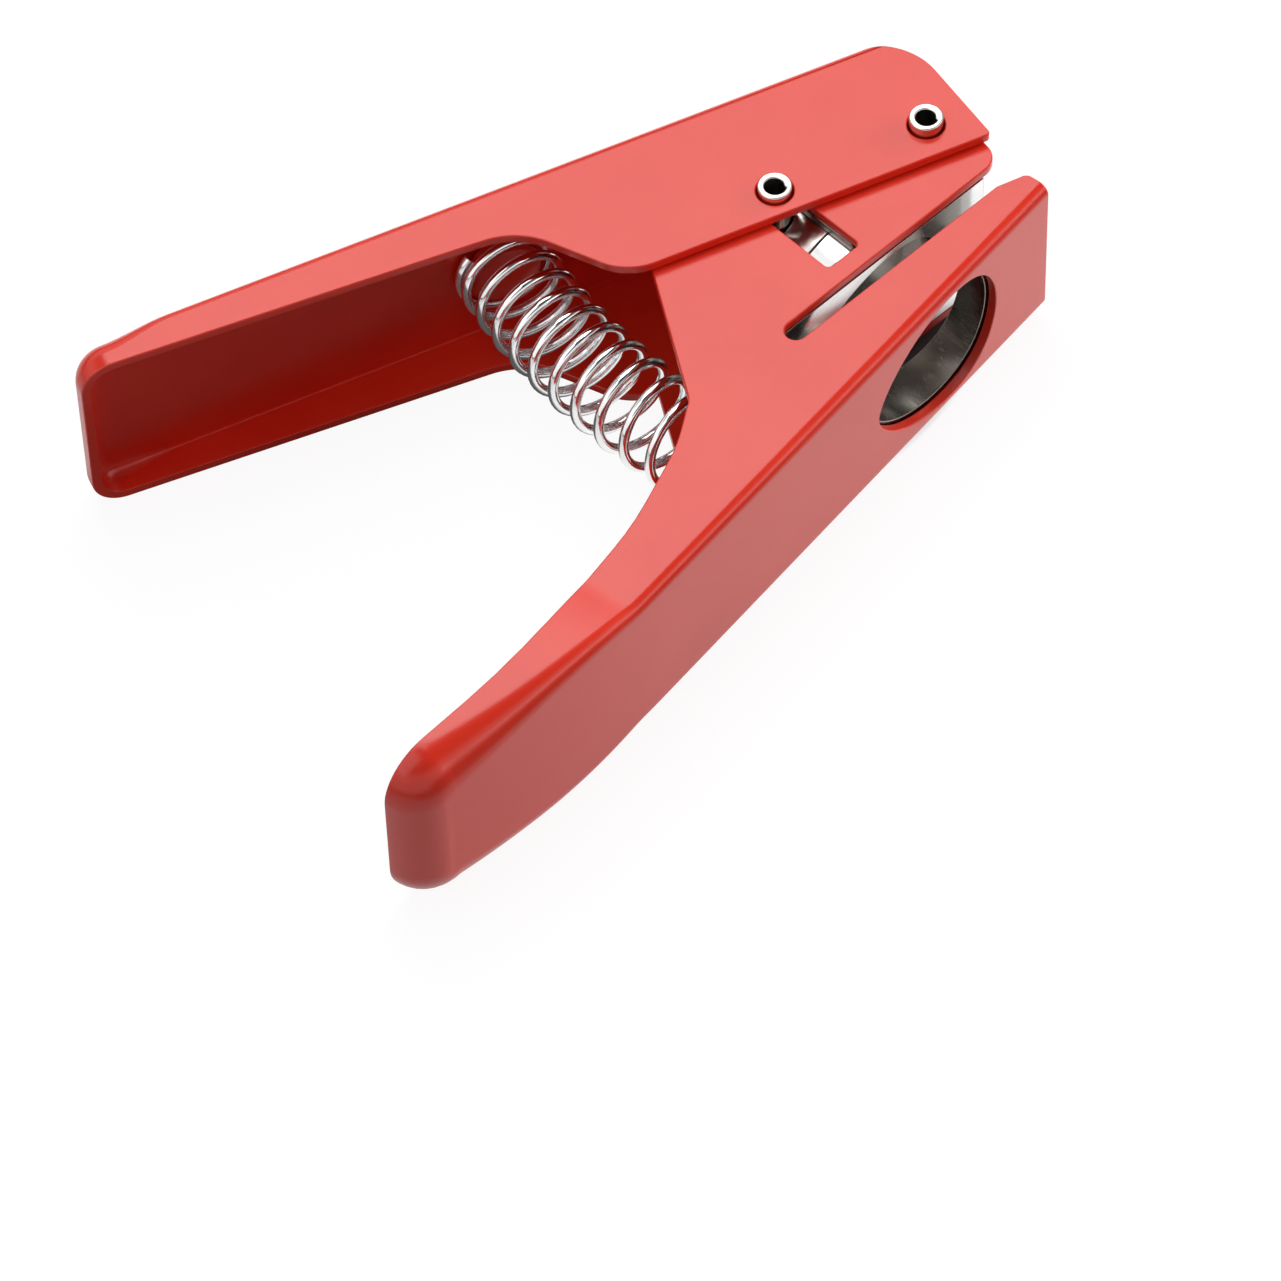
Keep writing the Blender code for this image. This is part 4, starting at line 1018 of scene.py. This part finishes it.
def rowTree():
    tree = bpy.data.node_groups.new("row of fasteners", "GeometryNodeTree")
    face = tree.interface
    face.new_socket("Geometry", in_out="OUTPUT", socket_type="NodeSocketGeometry")
    for name, kind in (("Shape", "Object"), ("Count", "Int"), ("Start", "Vector"), ("Step", "Vector"),
                       ("Turn", "Vector"), ("Finish", "Material")):
        face.new_socket(name, in_out="INPUT", socket_type="NodeSocket" + kind)
    given = addNode(tree, "NodeGroupInput").outputs
    line = addNode(tree, "GeometryNodeMeshLine", {"Count": given["Count"], "Start Location": given["Start"],
                                                  "Offset": given["Step"]}).outputs[0]
    shape = addNode(tree, "GeometryNodeObjectInfo", {"Object": given["Shape"]}).outputs["Geometry"]
    turn = addNode(tree, "FunctionNodeEulerToRotation", {"Euler": given["Turn"]}).outputs[0]
    placed = addNode(tree, "GeometryNodeInstanceOnPoints",
                     {"Points": line, "Instance": shape, "Rotation": turn})
    real = addNode(tree, "GeometryNodeRealizeInstances", {"Geometry": placed.outputs[0]}).outputs[0]
    dressed = addNode(tree, "GeometryNodeSetMaterial",
                      {"Geometry": real, "Material": given["Finish"]}).outputs[0]
    tree.links.new(dressed, addNode(tree, "NodeGroupOutput").inputs[0])
    return tree


fastenerRow = rowTree()


def row(shape, name, u, gap, v, headDown, material, body, slot, nodes):
    first = standAt(u, -gap / 2, v, headDown)
    values = {"Shape": shape, "Count": len(nodes), "Start": tuple(first.translation), "Step": (0.0, 0.0, gap),
              "Turn": tuple(first.to_euler()), "Finish": material}
    piece = growFrom(name, fastenerRow, values)
    bpy.data.objects.remove(shape)
    return settle(piece, material, body, nodes)


dieLength = heelTop - dieSet["cover"] - dieScrewSeat
carrierSeat = carrierTop - dieSet["recess"] - screws["headHeight"]
punchLength = carrierSeat - carrierLow + tool["fit"] + screws["punchGrip"]
row(capScrew(dieLength), "die_cap_screws", fastenerU, screws["dieSpread"], dieScrewSeat, True, black,
    "frame", "black_steel", ["die_screw_1", "die_screw_2"])
row(capScrew(punchLength), "punch_cap_screws", punchScrewU, screws["punchSpread"], carrierSeat, False, black,
    "punch", "black_steel", ["punch_screw_1", "punch_screw_2"])
row(flatScrew(), "stripper_flat_screws", flatScrewU, screws["flatSpread"], ceiling + dieSet["recess"] / 2,
    True, black, "frame", "black_steel", ["stripper_screw_1", "stripper_screw_2"])
row(dowel(), "die_dowels", fastenerU, screws["dowelSpread"], heelTop - dieSet["cover"], False, ground,
    "frame", "tool_steel", ["die_dowel_1", "die_dowel_2"])
print("fasteners made")


# Camera, at the photograph's angle
camera = {
    "azimuth": radians(-50.0),
    "elevation": radians(54.0),
    "roll": radians(-2.0),
    "distance": 1292.4 * mm,
    "lens": 224.8,
    "sensor": 36.0,
    "reach": 20.0,
    "target": (-104.92 * mm, 3.74 * mm, 17.4 * mm),
}


def makeCamera():
    az, el, roll = camera["azimuth"], camera["elevation"], camera["roll"]
    back = Vector((sin(az) * cos(el), -cos(az) * cos(el), sin(el)))
    right = Vector((cos(az), sin(az), 0))
    up = back.cross(right)
    level = right * cos(roll) + up * sin(roll)
    over = up * cos(roll) - right * sin(roll)
    view = bpy.data.objects.new("camera", bpy.data.cameras.new("camera"))
    bpy.context.scene.collection.objects.link(view)
    place = Matrix((level, over, back)).transposed().to_4x4()
    place.translation = toWorld @ Vector(camera["target"]) + back * camera["distance"]
    view.matrix_world = place
    view.data.lens = camera["lens"]
    view.data.sensor_width = camera["sensor"]
    view.data.clip_end = camera["reach"]
    bpy.context.scene.camera = view


light = {
    "ambient": 0.07,             # world for diffuse rays
    "walls": 1.0,                # world for glossy rays, by its height
    "ceiling": 0.10,
    "horizon": 0.04,
    "horizonFade": (0.12, 0.24),
    "ceilingFade": (0.55, 0.72),
    "tailFade": (-0.5, -0.2),    # towards the tail the wall is white down to the floor
    "key": ((0.30, 0.30, 0.90), 0.9, (0.62, 0.66), 3.3),      # towards it, distance, size, radiance
    "top": ((-0.50, 0.20, 0.84), 0.9, (0.8, 0.8), 1.2),
    "strip": ((0.45, -0.80, 0.40), 0.9, (0.9, 0.12), 1.9),
    "fill": ((0.92, -0.39, 0.08), 0.9, (1.0, 0.6), 5.6),
}


def makeLight(name, towards, distance, size, radiance):
    lamp = bpy.data.objects.new(name, bpy.data.lights.new(name, "AREA"))
    bpy.context.scene.collection.objects.link(lamp)
    lamp.data.shape = "RECTANGLE"
    lamp.data.size, lamp.data.size_y = size
    lamp.data.energy = radiance * pi * size[0] * size[1]
    lamp.location = Vector(towards).normalized() * distance
    lamp.rotation_euler = Vector(towards).to_track_quat("Z", "Y").to_euler()


def makeWorld():
    world = bpy.data.worlds.new("studio")
    bpy.context.scene.world = world
    world.use_nodes = True
    tree = world.node_tree
    math = partial(mathNode, tree)
    path = addNode(tree, "ShaderNodeLightPath").outputs
    way = addNode(tree, "ShaderNodeTexCoord").outputs["Generated"]
    way = addNode(tree, "ShaderNodeSeparateXYZ", {"Vector": way}).outputs
    low = spread(tree, way["Z"], light["horizon"], light["walls"], *light["horizonFade"])
    low = math("MAXIMUM", low, spread(tree, way["X"], light["walls"], 0.0, *light["tailFade"]))
    high = spread(tree, way["Z"], light["walls"], light["ceiling"], *light["ceilingFade"])
    seen = math("MAXIMUM", path["Is Camera Ray"], path["Is Transmission Ray"])
    mirrored = math("MULTIPLY", path["Is Glossy Ray"], math("MINIMUM", low, high))
    others = math("SUBTRACT", 1.0, math("MAXIMUM", seen, path["Is Glossy Ray"]))
    rest = math("MULTIPLY", others, light["ambient"])
    back = tree.nodes["Background"]
    back.inputs["Color"].default_value = (1, 1, 1, 1)
    glow = math("ADD", math("ADD", seen, mirrored), rest)
    tree.links.new(glow, back.inputs["Strength"])


floorSizes = {
    "half": 1.5,
    "seen": 0.92,                # glow for the camera
    "mirrored": (0.65, 1.15),    # glow in gloss, from the tail's end to the nose's: painted light, lower where the tool shades the floor
    "mirroredAlong": (-90.0 * mm, 80.0 * mm),
    "bounce": 0.18,              # glow for diffuse rays
    "albedo": 0.12,
    "drop": 0.05 * mm,           # below the tool, so that no two faces share a plane
    "front": (-155.0 * mm, -100.0 * mm),     # in gloss the glow comes up between these places before the web, painted light on the floor
    "far": (200.0 * mm, 420.0 * mm),         # and goes down between these distances, a painted pool of light round the tool
    "paintedShadowUnderJaw": ((45.0 * mm, -34.0 * mm), (30.0 * mm, 17.0 * mm), 0.0),      # painted shadow under the jaw, where no light reaches the floor: centre, radii, turn
    # Painted shade on the floor: in the opening between handle and base the bounce glow drops, and before the
    # handle's inside the gloss glow drops
    "paintedShadeOpening": ((-24.0 * mm, -5.0 * mm), (90.0 * mm, 44.0 * mm), radians(-15.0)),
    "paintedShadowInHandle": ((-22.0 * mm, 20.0 * mm), (62.0 * mm, 27.0 * mm), radians(-26.0)),
    # how dark the painted shade gets
    "paintedShadowDepth": 0.95,
    "paintedShadowFade": (0.75, 1.05),
    "roughness": 0.9,
}


# A soft painted shadow on the floor: 1 inside an ellipse, fading to 0 outside it
def paintedShadowPatch(tree, place, centre, radii, turn):
    values = {"Vector": place, "Location": (*centre, 0), "Rotation": (0, 0, turn), "Scale": (*radii, 1)}
    spot = addNode(tree, "ShaderNodeMapping", values, vector_type="TEXTURE").outputs["Vector"]
    away = addNode(tree, "ShaderNodeVectorMath", {0: spot}, operation="LENGTH").outputs["Value"]
    return spread(tree, away, 1.0, 0.0, *floorSizes["paintedShadowFade"])


def makeFloor():
    bm = bmesh.new()
    bmesh.ops.create_grid(bm, x_segments=1, y_segments=1, size=floorSizes["half"],
                          matrix=Matrix.Translation((0, 0, -floorSizes["drop"])))
    mesh = bpy.data.meshes.new("floor")
    bm.to_mesh(mesh)
    bm.free()
    floor = newPiece("floor", mesh)
    made, tree, shader, place = startMaterial("white floor")
    math = partial(mathNode, tree)
    path = addNode(tree, "ShaderNodeLightPath").outputs
    spot = addNode(tree, "ShaderNodeSeparateXYZ", {"Vector": place}).outputs
    away = addNode(tree, "ShaderNodeVectorMath", {0: place}, operation="LENGTH").outputs["Value"]
    paintedShadowUnderJaw = paintedShadowPatch(tree, place, *floorSizes["paintedShadowUnderJaw"])
    # Painted shade in the opening and before the handle's inside, taken off the bounce and the gloss glow
    opened, paintedShadowInHandle = [paintedShadowPatch(tree, place, *floorSizes[key]) for key in ("paintedShadeOpening", "paintedShadowInHandle")]
    opened, paintedShadowInHandle = [math("SUBTRACT", 1.0, math("MULTIPLY", dark, floorSizes["paintedShadowDepth"]))
                        for dark in (opened, paintedShadowInHandle)]
    # Painted light in gloss: the floor glows more towards the nose and before the web, and less away from the
    # tool
    along = spread(tree, spot["X"], *floorSizes["mirrored"], *floorSizes["mirroredAlong"])
    front = spread(tree, spot["Y"], 0.0, 1.0, *floorSizes["front"])
    near = spread(tree, away, 1.0, 0.0, *floorSizes["far"])
    paintedFloorLight = math("MULTIPLY", along, math("MULTIPLY", front, near))
    paintedFloorLight = math("MAXIMUM", paintedFloorLight, light["horizon"])
    gloss = math("MULTIPLY", path["Is Glossy Ray"], math("MULTIPLY", paintedFloorLight, paintedShadowInHandle))
    bounce = math("MULTIPLY", path["Is Diffuse Ray"], math("MULTIPLY", floorSizes["bounce"], opened))
    others = math("SUBTRACT", 1.0, math("MAXIMUM", path["Is Glossy Ray"], path["Is Diffuse Ray"]))
    seen = math("MULTIPLY", others, floorSizes["seen"])
    glow = math("ADD", math("ADD", gloss, bounce), seen)
    # The painted shadow under the jaw takes all glow off the floor there
    glow = math("MULTIPLY", glow, math("SUBTRACT", 1.0, paintedShadowUnderJaw))
    shader.inputs["Base Color"].default_value = (*(floorSizes["albedo"],) * 3, 1)
    shader.inputs["Roughness"].default_value = floorSizes["roughness"]
    shader.inputs["Specular IOR Level"].default_value = 0.0
    shader.inputs["Emission Color"].default_value = (1, 1, 1, 1)
    tree.links.new(glow, shader.inputs["Emission Strength"])
    floor.data.materials.append(made)


makeCamera()
makeWorld()
makeFloor()
for name in ("key", "top", "strip", "fill"):
    makeLight(name, *light[name])
bpy.data.objects["fill"].visible_glossy = False
bpy.context.scene.view_settings.view_transform = "Standard"
print("stage made")
